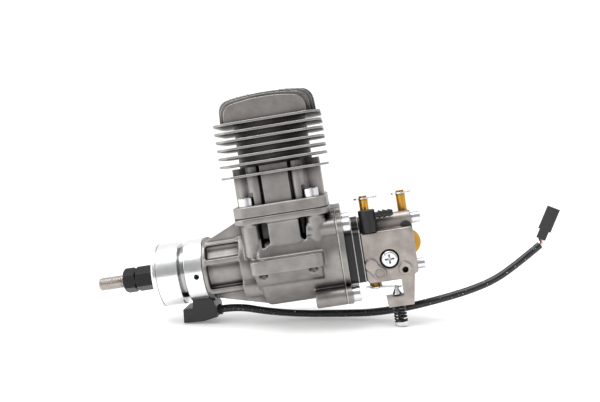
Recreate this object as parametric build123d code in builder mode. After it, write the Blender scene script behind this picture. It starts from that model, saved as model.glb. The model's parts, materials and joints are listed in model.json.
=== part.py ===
from build123d import *
import os
from math import asin, atan2, cos, degrees, pi, radians, sin, sqrt, tan

# A small two-stroke petrol engine for a model aeroplane. The crank axis is X (propeller at -X,
# carburettor at +X), the cylinder stands along +Z, and the exhaust leaves on the +Y side.
# The origin is on the crank axis, under the cylinder, in the middle of the four beam-mount holes.

# ---------------------------------------------------------------- driving dimensions, mm
bore_d = 32.0
stroke = 25.0
fit_gap = 0.05          # radial gap between a piece and the hole it is fixed in
running_gap = 0.04      # radial gap of a shaft that turns or a piston that slides
face_gap = 0.35         # gap between faces of pieces that move past each other
part_gap = 0.3          # gap between neighbouring pieces that don't touch

# screws: shank radius, head radius, clearance hole radius
m5_r = 2.5
m5_head_r = 4.25
m5_clear_r = 2.7
m5_head_h = 5.0
low_head_h = 4.6

# piston, rod and crankpin
piston_h = 23.5
crown_above_pin = 14.0
piston_wall = 2.2
skirt_clearance = 1.5   # piston skirt over the counterweight at bottom dead centre
wrist_pin_r = 4.0
wrist_pin_inset = 2.5   # the pin's end inside the bore
pin_wall = 1.4
crankpin_r = 4.0
rod_w = 8.0
big_end_r = 7.2
small_end_r = 6.6
needle_t = 1.4          # wall of the needle bearings in the rod

# crankshaft
web_rim = 7.5           # web outside the crankpin's centre
web_t = 8.5
main_journal_r = 7.5
middle_journal_r = 6.5
front_journal_r = 5.0
stud_r = 4.0
stud_root_r = 3.4       # threaded end of the stud inside the crankshaft
stud_depth = 14.0

# crankcase
chamber_clearance = 1.5
big_end_clearance = 4.7
groove_w = 13.0         # deeper ring that the rod's big end swings through
case_wall = 2.4
liner_wall = 2.3
barrel_wall = 5.5
nose_r = 15.6
nose_x = -47.5
nose_flange_t = 2.5
nose_flange_r = 19.0
spigot_r = 12.0
spigot_len = 8.0
seal_r = 9.0
seal_w = 5.0
deck_t = 3.8
deck_corner = 7.0
deck_over_case = 0.7
deck_edge_x = 8.5       # deck outside the cylinder screws
deck_edge_y = 6.0
passage_w = 13.0
passage_depth = 4.0

# beam mount
lug_t = 7.5
lug_len = 41.0
lug_edge = 5.0          # lug outside the beam holes
beam_spacing_x = 28.0
beam_clearance = 10.0   # beam hole spacing beyond the deck's width
beam_hole_r = 2.25

# rear cover
rear_gasket_t = 0.4
rear_cover_t = 3.0
rear_centre_z = -4.5
rear_boss_r = 5.15
rear_boss_len = 17.5
rear_screw_len = 16.0
upstand_z = 25.6
upstand_y = 30.0

# cylinder
base_gasket_t = 0.5
base_flange_t = 6.0
cyl_screw_len = 13.0
fin_reach_x = 9.25      # fins outside the barrel
fin_reach_y = 4.0
fin_t = 1.25
fin_corner = 9.0
fin_pitch = 4.66
fin_count = 6
low_fin_gap = 17.3      # lowest fin above the base flange
chamber_h = 7.0         # height of the combustion chamber
squish = 1.0
plug_hole_r = 4.5
plug_boss_r = 9.0
plug_spanner_r = 11.0
plug_reach = 14.5
head_h = 17.2           # arched plates above the top fin
plate_w = 2.0
plate_pitch = 5.5
exhaust_spacing = 32.0
exhaust_stand_off = 11.0
exhaust_hole_r = 2.1
port_w = 18.0
port_h = 9.0

# bearings: outside radius, width
main_bearing_r = 16.0
main_bearing_w = 9.0
front_bearing_r = 13.0
front_bearing_w = 8.0
front_bearing_x = -49.0
race_t = 2.4
track_depth = 1.0
ball_gap = 1.2

# propeller hub, nuts and sensor
hub_r = 18.8
hub_len = 15.5
hub_gap = 3.8           # visible gap between the hub and the sensor ring
hub_wall = 2.0
hub_neck_r = 15.0
magnet_r = 2.0
magnet_t = 3.0
magnet_z = -12.4
ring_len = 11.0
nut_flats = 13.0
nut_corner_t = 1.1
prop_nut_len = 10.6
lock_nut_len = 7.2
prop_nut_gap = 2.8
stud_overhang = 16.0    # stud in front of the lock nut
relief_w = 1.4          # relief groove in the thread, half of it under the lock nut
sensor_y = 19.0
sensor_drop = 10.5      # housing below the ring
set_screw_r = 1.5

# intake and carburettor
throat_z = -2.0
cage_len = 13.5         # reed cage: length, half height at its base and at its tip
cage_base = 9.0
cage_tip = 1.6
cage_half_w = 9.0
reed_flange_t = 4.5
intake_gasket_t = 0.5
spacer_t = 3.5
intake_w = 33.0
intake_h = 30.6
intake_drop = 2.3
carb_len = 30.5
carb_half_y = 11.0
carb_top_z = 8.6
carb_bottom_z = -19.0
carb_bolt_pitch = 31.0
carb_bolt_y = 5.5
carb_bolt_r = 2.0
bolt_ridge_r = 4.8
throttle_bore_r = 6.5
venturi_r = 5.6
choke_bore_r = 8.0
carb_shaft_r = 2.3
post_h = 9.7            # brass post above the bolt ridge
lever_t = 0.9
link_hole_r = 0.8
plate_t = 0.8
pump_gasket_t = 1.0
cover_t = 4.0
idle_y = 11.6
idle_r = 1.75
foot_drop = 11.0        # bracket foot below the body
foot_t = 5.8
membrane_t = 0.5
metering_t = 4.0

# signal lead
lead_r = 2.35
gland_len = 1.4
lead_above_base = 4.0

# ---------------------------------------------------------------- derived places
crank_throw = stroke / 2
web_r = crank_throw + web_rim
chamber_r = web_r + chamber_clearance
groove_r = crank_throw + big_end_r + big_end_clearance
case_r = groove_r + case_wall
pin_z = web_r + skirt_clearance + piston_h - crown_above_pin      # wrist pin at bottom dead centre
crown_z = pin_z + crown_above_pin
top_crown_z = crown_z + stroke
web_x = -rod_w / 2 - face_gap - web_t

liner_r = bore_d / 2 + liner_wall
liner_hole_r = liner_r + part_gap
barrel_r = bore_d / 2 + barrel_wall
cyl_screw_x = bore_d / 2 + m5_r
cyl_screw_y = bore_d / 2 + 4.0
cyl_screws = [(x, y) for x in (-cyl_screw_x, cyl_screw_x) for y in (-cyl_screw_y, cyl_screw_y)]
deck_x = 2 * (cyl_screw_x + deck_edge_x)
deck_y = 2 * (cyl_screw_y + deck_edge_y)
deck_z = case_r + deck_over_case
spigot_bottom_z = deck_z - 4.5
case_front_x = 1.0 - cyl_screw_x
case_rear_x = deck_x / 2 + 2.6
main_bearing_x = case_front_x - 0.5 - main_bearing_w
front_wall_x = main_bearing_x - 1.0
front_wall_r = main_bearing_r + 4.5
flange_x = nose_x - nose_flange_t
beam_spacing_y = deck_y + beam_clearance
lug_reach = beam_spacing_y / 2 + lug_edge

rear_screw_y = chamber_r - 1.5
rear_screw_dz = chamber_r - 1.75
rear_screws = [
    (y, rear_centre_z + side * rear_screw_dz)
    for y in (-rear_screw_y, rear_screw_y)
    for side in (-1, 1)
]

flange_z = deck_z + base_gasket_t
flange_top_z = flange_z + base_flange_t
low_fin_z = flange_top_z + low_fin_gap
chamber_top_z = top_crown_z + squish + chamber_h
plug_seat_z = chamber_top_z + plug_reach
top_fin_z = chamber_top_z + 3.2
head_top_z = top_fin_z + head_h
fin_len = 2 * (barrel_r + fin_reach_x)
fin_w = 2 * (barrel_r + fin_reach_y)
exhaust_face_y = bore_d / 2 + exhaust_stand_off
exhaust_z = crown_z + port_h / 2

ring_x = flange_x - ring_len
hub_rear_x = ring_x - hub_gap
hub_x = hub_rear_x - hub_len
prop_nut_x = hub_x - prop_nut_gap - prop_nut_len
lock_nut_x = prop_nut_x - part_gap - lock_nut_len
stud_tip_x = lock_nut_x - stud_overhang
sensor_bottom_z = -hub_r - sensor_drop
lead_exit_z = sensor_bottom_z + lead_above_base

reed_x = case_rear_x + rear_gasket_t + rear_cover_t
spacer_x = reed_x + reed_flange_t + intake_gasket_t
carb_x = spacer_x + spacer_t + intake_gasket_t
carb_bolt_dz = sqrt(carb_bolt_pitch**2 - (2 * carb_bolt_y) ** 2) / 2
carb_bolts_at = [(-carb_bolt_y, throat_z + carb_bolt_dz), (carb_bolt_y, throat_z - carb_bolt_dz)]
ridge_top_z = throat_z + carb_bolt_dz + bolt_ridge_r
lever_top_z = ridge_top_z + post_h
throttle_x = carb_x + 5.2
choke_x = carb_x + carb_len - 3.4
cover_back_y = carb_half_y + pump_gasket_t
cover_face_y = cover_back_y + cover_t
cover_bottom_z = carb_bottom_z - 1.6
idle_x = carb_x + 16.2
foot_top_z = carb_bottom_z - foot_drop


def finish(piece, name):
    """Label a finished piece and write it out under the same name."""
    piece.part.label = name
    export_step(piece.part, f"parts/{name}.step")


def drum(x0, length, radius):
    """A round bar along X, added to the part being built."""
    with BuildSketch(Plane.YZ.offset(x0)) as end_face:
        Circle(radius)
    extrude(end_face.sketch, amount=length)


def bore(x0, length, radius):
    """A round hole along X, cut from the part being built."""
    with BuildSketch(Plane.YZ.offset(x0)) as end_face:
        Circle(radius)
    extrude(end_face.sketch, amount=length, mode=Mode.SUBTRACT)


def socket_screws(places, plane, head_r, head_h, shank_r, shank_len):
    """Socket head cap screws: heads stand on the plane, along its normal."""
    with BuildPart() as screws:
        with BuildSketch(plane):
            with Locations(*places):
                Circle(head_r)
        extrude(amount=head_h)
        chamfer(screws.edges().filter_by(GeomType.CIRCLE).group_by(plane_axis(plane))[-1], 0.4)
        with BuildSketch(plane):
            with Locations(*places):
                Circle(shank_r)
        extrude(amount=-shank_len)
        with BuildSketch(plane.offset(head_h)):
            with Locations(*places):
                RegularPolygon(head_r * 0.52, 6)
        extrude(amount=-head_h * 0.55, mode=Mode.SUBTRACT)
    return screws


def plane_axis(plane):
    """The axis that runs along a plane's normal."""
    return Axis(plane.origin, plane.z_dir)


os.makedirs("parts", exist_ok=True)

# ---------------------------------------------------------------- crankcase
with BuildPart() as crankcase:
    drum(case_front_x, case_rear_x - case_front_x, case_r)
    fillet(crankcase.edges().filter_by(GeomType.CIRCLE).group_by(Axis.X)[0], 3.0)
    drum(front_wall_x, 1 - front_wall_x + case_front_x, front_wall_r)
    drum(nose_x, 1 - nose_x + front_wall_x, nose_r)
    drum(flange_x, nose_flange_t, nose_flange_r)
    drum(flange_x - spigot_len, spigot_len, spigot_r)

    # upper body between the drum and the deck
    with BuildSketch(Plane.XY):
        Rectangle(2 * cyl_screw_x + 8, 2 * cyl_screw_y - 2)
    extrude(amount=deck_z - deck_t)
    with BuildSketch(Plane.XY.offset(5)):
        with Locations(*cyl_screws):
            Circle(5.4)
    extrude(amount=deck_z - 5)
    # deck that the cylinder is bolted to
    with BuildSketch(Plane.XY.offset(deck_z - deck_t)):
        RectangleRounded(deck_x, deck_y, deck_corner)
    extrude(amount=deck_t)
    # transfer passage bulge on each side, tapering to the lug
    with BuildSketch(Plane.XZ.offset(-25.0)):
        with BuildLine():
            Polyline((-8.3, deck_z), (-8.3, 12), (-3, 5), (4, 5), (9.5, 12), (9.5, deck_z), close=True)
        make_face()
    extrude(amount=50.0)

    # beam-mount lugs, with a web below each one
    with BuildSketch(Plane.XY.offset(-lug_t / 2)):
        RectangleRounded(lug_len, 2 * lug_reach, 4.0)
    extrude(amount=lug_t)
    for side in (-1, 1):
        with BuildSketch(Plane.YZ.offset(-lug_len / 2 + 1.5)):
            with BuildLine():
                Polyline(
                    (side * (case_r - 4), -lug_t / 2 + 0.5),
                    (side * (lug_reach - 2.5), -lug_t / 2 + 0.5),
                    (side * (case_r - 0.6), -lug_t / 2 - 7),
                    (side * (case_r - 6), -lug_t / 2 - 10),
                    close=True,
                )
            make_face()
        extrude(amount=lug_len - 3)

    # rear screw bosses and the wall that carries them
    for y, z in rear_screws:
        with BuildSketch(Plane.YZ.offset(case_rear_x - rear_boss_len)):
            with Locations((y, z)):
                Circle(rear_boss_r)
        extrude(amount=rear_boss_len)
        with BuildSketch(Plane.YZ.offset(case_rear_x - rear_boss_len + 3)):
            with BuildLine():
                Polyline((y, z + 3.5), (y * 0.55, z * 0.6 + 3.5), (y * 0.55, z * 0.6 - 3.5), (y, z - 3.5), close=True)
            make_face()
        extrude(amount=rear_boss_len - 3)
    with BuildSketch(Plane.YZ.offset(case_rear_x - 1.8)):
        with Locations((0, upstand_z / 2)):
            RectangleRounded(upstand_y, upstand_z, 3.0)
    extrude(amount=1.8)
    for y in (-upstand_y / 2 + 1.2, 0, upstand_y / 2 - 1.2):
        with BuildSketch(Plane.XZ.offset(-y - 1.1)):
            with BuildLine():
                Polyline(
                    (cyl_screw_x + 2, deck_z - deck_t),
                    (cyl_screw_x + 5, deck_z - deck_t - 0.5),
                    (case_rear_x - 1, upstand_z - 1),
                    (case_rear_x - 1, 8),
                    (cyl_screw_x + 2, 8),
                    close=True,
                )
            make_face()
        extrude(amount=2.2)

    # nose ribs, level with the crank axis and above and below it
    for z, thick, reach in ((15.0, 1.4, 13.0), (5.6, 3.0, 19.2), (-12.0, 3.0, 15.5)):
        with BuildSketch(Plane.XY.offset(z - thick / 2)):
            with Locations(((nose_x + case_front_x) / 2, 0)):
                Rectangle(case_front_x - nose_x + 1, 2 * reach)
        extrude(amount=thick)
    # sloping gusset from the nose flange up to the deck, and the web under the nose
    with BuildSketch(Plane.XZ.offset(-11.0)):
        with BuildLine():
            Polyline(
                (nose_x - 1, 16.6),
                (-cyl_screw_x - 8.0, deck_z - 1.2),
                (-cyl_screw_x, deck_z - 1.2),
                (-cyl_screw_x, 5),
                (nose_x - 1, 5),
                close=True,
            )
        make_face()
    extrude(amount=22.0)
    with BuildSketch(Plane.XZ.offset(-2.5)):
        with BuildLine():
            Polyline(
                (nose_x - 1, -8),
                (nose_x - 1, -17.6),
                (case_front_x + 2, -case_r + 0.6),
                (case_front_x + 2, -8),
                close=True,
            )
        make_face()
    extrude(amount=5.0)
    # rounded corner where the front wall meets the lower rib
    for side in (-1, 1):
        with BuildSketch(Plane.YZ.offset(front_wall_x)):
            with Locations((side * 13.5, -11.5)):
                Circle(7.0)
        extrude(amount=case_front_x - front_wall_x + 1)

    # pockets beside the transfer bulge
    for side in (-1, 1):
        with BuildSketch(Plane.XZ.offset(-side * 26.5 if side > 0 else 17.2)):
            with BuildLine():
                Polyline((-13.1, deck_z - deck_t), (-13.1, 9), (-8.3, 12), (-8.3, deck_z - deck_t), close=True)
            make_face()
            with BuildLine():
                Polyline((9.5, deck_z - deck_t), (9.5, 13), (12.0, 10), (13.6, deck_z - deck_t), close=True)
            make_face()
        extrude(amount=9.3, mode=Mode.SUBTRACT)

    # inside: crank chamber, groove for the big end, opening for the cylinder, passages
    bore(case_front_x + 2.0, case_rear_x - case_front_x, chamber_r)
    bore(-groove_w / 2, groove_w, groove_r)
    with BuildSketch(Plane.XY):
        Rectangle(groove_w, 2 * (chamber_r - 0.9))
    extrude(amount=spigot_bottom_z - 0.6, mode=Mode.SUBTRACT)
    with BuildSketch(Plane.XY):
        Circle(liner_hole_r)
    extrude(amount=deck_z, mode=Mode.SUBTRACT)
    with BuildSketch(Plane.XY.offset(main_bearing_r + 1.5)):
        Rectangle(2 * (liner_hole_r + passage_depth), passage_w)
    extrude(amount=deck_z - main_bearing_r, mode=Mode.SUBTRACT)

    # bearing seats, seal seat and shaft clearance
    bore(main_bearing_x, main_bearing_w + 12, main_bearing_r + fit_gap)
    bore(front_bearing_x, front_bearing_w, front_bearing_r + fit_gap)
    bore(flange_x - spigot_len, spigot_len + 3, seal_r + fit_gap)
    bore(flange_x, -flange_x + case_front_x, main_journal_r + 1.2)

    # screw holes
    with BuildSketch(Plane.XY.offset(deck_z)):
        with Locations(*cyl_screws):
            Circle(m5_r + fit_gap)
    extrude(amount=base_flange_t + base_gasket_t - cyl_screw_len - 1, mode=Mode.SUBTRACT)
    with BuildSketch(Plane.YZ.offset(case_rear_x)):
        with Locations(*rear_screws):
            Circle(m5_r + fit_gap)
    extrude(amount=rear_cover_t + rear_gasket_t - rear_screw_len - 1, mode=Mode.SUBTRACT)
    with BuildSketch(Plane.XY.offset(-lug_t)):
        with GridLocations(beam_spacing_x, beam_spacing_y, 2, 2):
            Circle(beam_hole_r)
    extrude(amount=2 * lug_t, mode=Mode.SUBTRACT)
finish(crankcase, "crankcase")

# ---------------------------------------------------------------- rear cover and gasket
with BuildSketch() as rear_outline:
    Circle(case_r)
    with Locations(*rear_screws):
        Circle(rear_boss_r)
    for y, z in rear_screws:
        with BuildLine():
            Polyline((y, z + 4), (y * 0.3, z + 4), (y * 0.3, z - 4), (y, z - 4), close=True)
        make_face()
    with Locations((0, upstand_z / 2)):
        RectangleRounded(upstand_y, upstand_z, 3.0)


def rear_plate(x0, thickness):
    """A plate with the crankcase's rear outline, its screw holes and the reed cage's opening."""
    with BuildPart() as plate:
        with BuildSketch(Plane.YZ.offset(x0)):
            add(rear_outline.sketch)
            with Locations(*rear_screws):
                Circle(m5_clear_r, mode=Mode.SUBTRACT)
            with Locations((0, throat_z)):
                Rectangle(2 * cage_half_w + 1, 2 * cage_base + 1, mode=Mode.SUBTRACT)
        extrude(amount=thickness)
    return plate


rear_cover = rear_plate(case_rear_x + rear_gasket_t, rear_cover_t)
finish(rear_cover, "rear_cover")
rear_cover_gasket = rear_plate(case_rear_x, rear_gasket_t)
finish(rear_cover_gasket, "rear_cover_gasket")
rear_cover_screws = socket_screws(rear_screws, Plane.YZ.offset(reed_x), m5_head_r, low_head_h, m5_r, rear_screw_len)
finish(rear_cover_screws, "rear_cover_screws")

# ---------------------------------------------------------------- cylinder with its fins and head
with BuildSketch() as base_outline:
    RectangleRounded(deck_x - 0.4, deck_y - 0.4, deck_corner)


def crown_height(y):
    """Top of the head's arched plates at a distance y from the middle."""
    return head_top_z - 0.0100 * y**2


def plate_half_length(y):
    """Half the length of a head plate at a distance y from the middle."""
    return 28.6 - 0.0105 * y**2


rib_y = 4 * plate_pitch + 0.4
rib_z = head_top_z - 4.9
with BuildPart() as cylinder:
    with BuildSketch(Plane.XY.offset(flange_z)):
        add(base_outline.sketch)
    extrude(amount=base_flange_t)
    chamfer(cylinder.faces().sort_by(Axis.Z)[-1].edges(), 0.6)
    # spigot that goes down into the crankcase
    with BuildSketch(Plane.XY.offset(spigot_bottom_z)):
        Circle(liner_r)
    extrude(amount=flange_z - spigot_bottom_z + 1)
    # barrel, with front and rear transfer bulges, a flat panel on each side and small columns
    with BuildSketch(Plane.XY.offset(flange_top_z - 1)):
        Circle(barrel_r)
    extrude(amount=top_fin_z - flange_top_z + 1)
    with BuildSketch(Plane.XY.offset(flange_top_z - 1)):
        RectangleRounded(deck_x - 3.0, 25.0, 6.0)
        Rectangle(15.6, 2 * barrel_r + 2.0)
        with Locations(*[(x, y) for x in (-12.2, 12.2) for y in (2.9 - barrel_r, barrel_r - 2.9)]):
            Circle(3.9)
    extrude(amount=low_fin_z - flange_top_z + 5.5)
    # grooves beside the flat panels
    with BuildSketch(Plane.XY.offset(flange_top_z)):
        with Locations(*[(x, y) for x in (-8.3, 8.3) for y in (-barrel_r - 0.9, barrel_r + 0.9)]):
            Circle(0.9)
    extrude(amount=low_fin_z - flange_top_z, mode=Mode.SUBTRACT)
    # room for the screw heads
    with BuildSketch(Plane.XY.offset(flange_top_z)):
        with Locations(*cyl_screws):
            Circle(m5_head_r + 1.05)
    extrude(amount=m5_head_h + 2.5, mode=Mode.SUBTRACT)
    # fins
    for z in [top_fin_z - i * fin_pitch for i in range(fin_count)] + [low_fin_z]:
        with BuildSketch(Plane.XY.offset(z - fin_t / 2)):
            RectangleRounded(fin_len, fin_w, fin_corner)
        extrude(amount=fin_t)
    # head: a low roof, the plug boss, and arched plates that run fore and aft
    with BuildSketch(Plane.XY.offset(top_fin_z)):
        RectangleRounded(2 * barrel_r + 3.0, 2 * barrel_r - 1.0, 10.0)
    extrude(amount=4.0)
    with BuildSketch(Plane.XY.offset(top_fin_z)):
        Circle(plug_boss_r)
    extrude(amount=plug_seat_z - top_fin_z)
    for y in [side * row * plate_pitch for row in (1, 2, 3, 4) for side in (-1, 1)]:
        half = plate_half_length(y)
        crown = crown_height(y)
        with BuildSketch(Plane.XZ.offset(-y - plate_w / 2)):
            with BuildLine():
                Line((-half, top_fin_z), (-half + 0.6, crown - 2.8))
                ThreePointArc((-half + 0.6, crown - 2.8), (0, crown), (half - 0.6, crown - 2.8))
                Line((half - 0.6, crown - 2.8), (half, top_fin_z))
                Line((half, top_fin_z), (-half, top_fin_z))
            make_face()
            fillet(vertices().sort_by(Axis.Y)[-2:], 7.0)
        extrude(amount=plate_w)
    # cross rib that ties the plates together
    with BuildSketch(Plane.YZ.offset(-1.1)):
        with BuildLine():
            Polyline(
                (-rib_y, top_fin_z),
                (-rib_y, rib_z - 3.5),
                (-3 * plate_pitch, rib_z),
                (3 * plate_pitch, rib_z),
                (rib_y, rib_z - 3.5),
                (rib_y, top_fin_z),
                close=True,
            )
        make_face()
    extrude(amount=2.2)
    # exhaust flange
    with BuildSketch(Plane.XZ.offset(-exhaust_face_y)):
        with Locations((0, exhaust_z)):
            RectangleRounded(exhaust_spacing + 10, port_h + 8.0, 5.0)
    extrude(amount=exhaust_face_y - 12)

    # inside: bore, combustion chamber, plug thread, room for a plug spanner
    with BuildSketch(Plane.XY.offset(spigot_bottom_z)):
        Circle(bore_d / 2)
    extrude(amount=top_crown_z + squish - spigot_bottom_z, mode=Mode.SUBTRACT)
    with BuildSketch(Plane.XY.offset(top_crown_z + squish)):
        Circle(bore_d / 2 - 5.0)
    extrude(amount=chamber_h, taper=35, mode=Mode.SUBTRACT)
    with BuildSketch(Plane.XY.offset(top_crown_z)):
        Circle(plug_hole_r)
    extrude(amount=plug_seat_z - top_crown_z + 1, mode=Mode.SUBTRACT)
    with BuildSketch(Plane.XY.offset(plug_seat_z)):
        Circle(plug_spanner_r)
    extrude(amount=10, mode=Mode.SUBTRACT)
    # exhaust port and its two threaded holes
    with BuildSketch(Plane.XZ.offset(-exhaust_face_y)):
        with Locations((0, exhaust_z)):
            RectangleRounded(port_w, port_h, 2.0)
    extrude(amount=exhaust_face_y, mode=Mode.SUBTRACT)
    with BuildSketch(Plane.XZ.offset(-exhaust_face_y)):
        with Locations((0, exhaust_z)):
            with GridLocations(exhaust_spacing, 1, 2, 1):
                Circle(exhaust_hole_r)
    extrude(amount=9, mode=Mode.SUBTRACT)
    # front and rear transfer passages, open to the bore above the piston at bottom dead centre
    with BuildSketch(Plane.XY.offset(flange_z)):
        with Locations((-liner_hole_r - passage_depth / 2, 0), (liner_hole_r + passage_depth / 2, 0)):
            Rectangle(passage_depth, passage_w)
    extrude(amount=crown_z + 6 - flange_z, mode=Mode.SUBTRACT)
    with BuildSketch(Plane.XY.offset(crown_z)):
        Rectangle(2 * (liner_hole_r + passage_depth - 0.6), passage_w - 2.0)
    extrude(amount=6.0, mode=Mode.SUBTRACT)
    # screw holes
    with BuildSketch(Plane.XY.offset(flange_z)):
        with Locations(*cyl_screws):
            Circle(m5_clear_r)
    extrude(amount=base_flange_t, mode=Mode.SUBTRACT)
finish(cylinder, "cylinder")

with BuildPart() as cylinder_base_gasket:
    with BuildSketch(Plane.XY.offset(deck_z)):
        add(base_outline.sketch)
        Circle(liner_hole_r, mode=Mode.SUBTRACT)
        Rectangle(2 * (liner_hole_r + passage_depth), passage_w, mode=Mode.SUBTRACT)
        with Locations(*cyl_screws):
            Circle(m5_clear_r, mode=Mode.SUBTRACT)
    extrude(amount=base_gasket_t)
finish(cylinder_base_gasket, "cylinder_base_gasket")

cylinder_screws = socket_screws(cyl_screws, Plane.XY.offset(flange_top_z), m5_head_r, m5_head_h, m5_r, cyl_screw_len)
finish(cylinder_screws, "cylinder_screws")


# ---------------------------------------------------------------- bearings and seal
def bearing(x0, width, outer_r, inner_r, name):
    """A deep-groove ball bearing along X: outer race, inner race, and its balls in a ring."""
    mid_r = (outer_r + inner_r) / 2
    ball_r = (outer_r - inner_r) / 2 - race_t + track_depth
    ball_count = int(pi / asin((ball_r + ball_gap / 2) / mid_r))
    with BuildPart() as outer:
        with BuildSketch(Plane.YZ.offset(x0)):
            Circle(outer_r)
            Circle(outer_r - race_t, mode=Mode.SUBTRACT)
        extrude(amount=width)
        with BuildSketch(Plane.XY):
            with Locations((x0 + width / 2, mid_r)):
                Circle(ball_r + running_gap)
        revolve(axis=Axis.X, mode=Mode.SUBTRACT)
    finish(outer, f"{name}_bearing_outer")
    with BuildPart() as inner:
        with BuildSketch(Plane.YZ.offset(x0)):
            Circle(inner_r + race_t)
            Circle(inner_r, mode=Mode.SUBTRACT)
        extrude(amount=width)
        with BuildSketch(Plane.XY):
            with Locations((x0 + width / 2, mid_r)):
                Circle(ball_r)
        revolve(axis=Axis.X, mode=Mode.SUBTRACT)
    finish(inner, f"{name}_bearing_inner")
    with BuildPart() as balls:
        with Locations(Plane.YZ.offset(x0 + width / 2)):
            with PolarLocations(mid_r, ball_count):
                Sphere(ball_r - 0.01)
    finish(balls, f"{name}_bearing_balls")


bearing(main_bearing_x, main_bearing_w, main_bearing_r, main_journal_r, "main")
bearing(front_bearing_x, front_bearing_w, front_bearing_r, front_journal_r, "front")

with BuildPart() as front_seal:
    drum(flange_x - spigot_len, seal_w, seal_r)
    bore(flange_x - spigot_len, seal_w, front_journal_r + running_gap)
    with BuildSketch(Plane.YZ.offset(flange_x - spigot_len)):
        Circle(seal_r - 1.4)
        Circle(front_journal_r + 1.0, mode=Mode.SUBTRACT)
    extrude(amount=1.5, mode=Mode.SUBTRACT)
finish(front_seal, "front_seal")

# ---------------------------------------------------------------- crankshaft
shaft_x = hub_x + hub_wall
with BuildPart() as crankshaft:
    with BuildSketch(Plane.YZ.offset(web_x)):
        Circle(web_r)
        # the pin side is cut away so that the other side balances the rod
        with Locations((web_r - 4.5, -crank_throw - 0.5), (4.5 - web_r, -crank_throw - 0.5)):
            Circle(8.5, mode=Mode.SUBTRACT)
    extrude(amount=web_t)
    drum(web_x - 1.2, 1.2, main_journal_r + 1.0)
    drum(main_bearing_x - 1, web_x - main_bearing_x, main_journal_r)
    drum(front_bearing_x + front_bearing_w, main_bearing_x - front_bearing_x - front_bearing_w, middle_journal_r)
    drum(shaft_x, front_bearing_x + front_bearing_w - shaft_x, front_journal_r)
    bore(shaft_x, stud_depth + 6.0, stud_root_r)
finish(crankshaft, "crankshaft")

with BuildPart() as prop_stud:
    drum(shaft_x, stud_depth, stud_root_r - fit_gap)
    drum(stud_tip_x, lock_nut_x - relief_w / 2 - stud_tip_x, stud_r)
    drum(lock_nut_x - relief_w / 2, relief_w, stud_r - 0.3)
    drum(lock_nut_x + relief_w / 2, shaft_x - lock_nut_x - relief_w / 2, stud_r)
    chamfer(prop_stud.edges().filter_by(GeomType.CIRCLE).group_by(Axis.X)[0], 0.9)
finish(prop_stud, "prop_stud")

with BuildPart() as prop_hub:
    drum(hub_x, hub_len, hub_r)
    chamfer(prop_hub.edges().filter_by(GeomType.CIRCLE).group_by(Axis.X)[0], 1.0)
    # fine turned line behind the front face
    with BuildSketch(Plane.YZ.offset(hub_x + 2.8)):
        Circle(hub_r)
        Circle(hub_r - 0.3, mode=Mode.SUBTRACT)
    extrude(amount=0.4, mode=Mode.SUBTRACT)
    drum(hub_rear_x, ring_x - face_gap - hub_rear_x, hub_neck_r)
    bore(hub_x, hub_wall, stud_r + fit_gap)
    bore(shaft_x, ring_x - shaft_x, front_journal_r + fit_gap)
    with BuildSketch(Plane.YZ.offset(ring_x - face_gap)):
        with Locations((0, magnet_z)):
            Circle(magnet_r + fit_gap)
    extrude(amount=-magnet_t, mode=Mode.SUBTRACT)
finish(prop_hub, "prop_hub")

with BuildPart() as hub_magnet:
    with BuildSketch(Plane.YZ.offset(ring_x - face_gap)):
        with Locations((0, magnet_z)):
            Circle(magnet_r)
    extrude(amount=-magnet_t)
finish(hub_magnet, "hub_magnet")


def hex_nut(x0, length):
    """A hexagon nut on the propeller stud, with its corners turned off at both ends."""
    corner_r = nut_flats / sqrt(3)
    with BuildPart() as nut:
        with BuildSketch(Plane.YZ.offset(x0)):
            RegularPolygon(corner_r, 6, rotation=30)
        extrude(amount=length)
        with BuildSketch(Plane.XZ):
            with BuildLine():
                Polyline(
                    (x0, 0),
                    (x0, nut_flats / 2),
                    (x0 + nut_corner_t, corner_r + 0.1),
                    (x0 + length - nut_corner_t, corner_r + 0.1),
                    (x0 + length, nut_flats / 2),
                    (x0 + length, 0),
                    close=True,
                )
            make_face()
        revolve(axis=Axis.X, mode=Mode.INTERSECT)
        bore(x0, length, stud_r + fit_gap)
    return nut


prop_nut = hex_nut(prop_nut_x, prop_nut_len)
finish(prop_nut, "prop_nut")
lock_nut = hex_nut(lock_nut_x, lock_nut_len)
finish(lock_nut, "lock_nut")

# ---------------------------------------------------------------- sensor ring, sensor and its screw
set_screw_at = (ring_x + 7.0, -1.6)
with BuildPart() as sensor_ring:
    drum(ring_x, ring_len, hub_r)
    chamfer(sensor_ring.edges().filter_by(GeomType.CIRCLE), 0.4)
    bore(ring_x, ring_len, spigot_r + fit_gap)
    # threaded hole of the set screw
    with BuildSketch(Plane.XZ.offset(hub_r + 1)):
        with Locations(set_screw_at):
            Circle(set_screw_r + fit_gap)
    extrude(amount=-hub_r + spigot_r - 1.5, mode=Mode.SUBTRACT)
finish(sensor_ring, "sensor_ring")

with BuildPart() as ring_set_screw:
    with BuildSketch(Plane.XZ.offset(hub_r - 1.4)):
        with Locations(set_screw_at):
            Circle(set_screw_r)
    extrude(amount=-hub_r + spigot_r + 1.8)
    with BuildSketch(Plane.XZ.offset(hub_r - 1.4)):
        with Locations(set_screw_at):
            RegularPolygon(set_screw_r - 0.7, 6)
    extrude(amount=-1.6, mode=Mode.SUBTRACT)
finish(ring_set_screw, "ring_set_screw")

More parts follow.
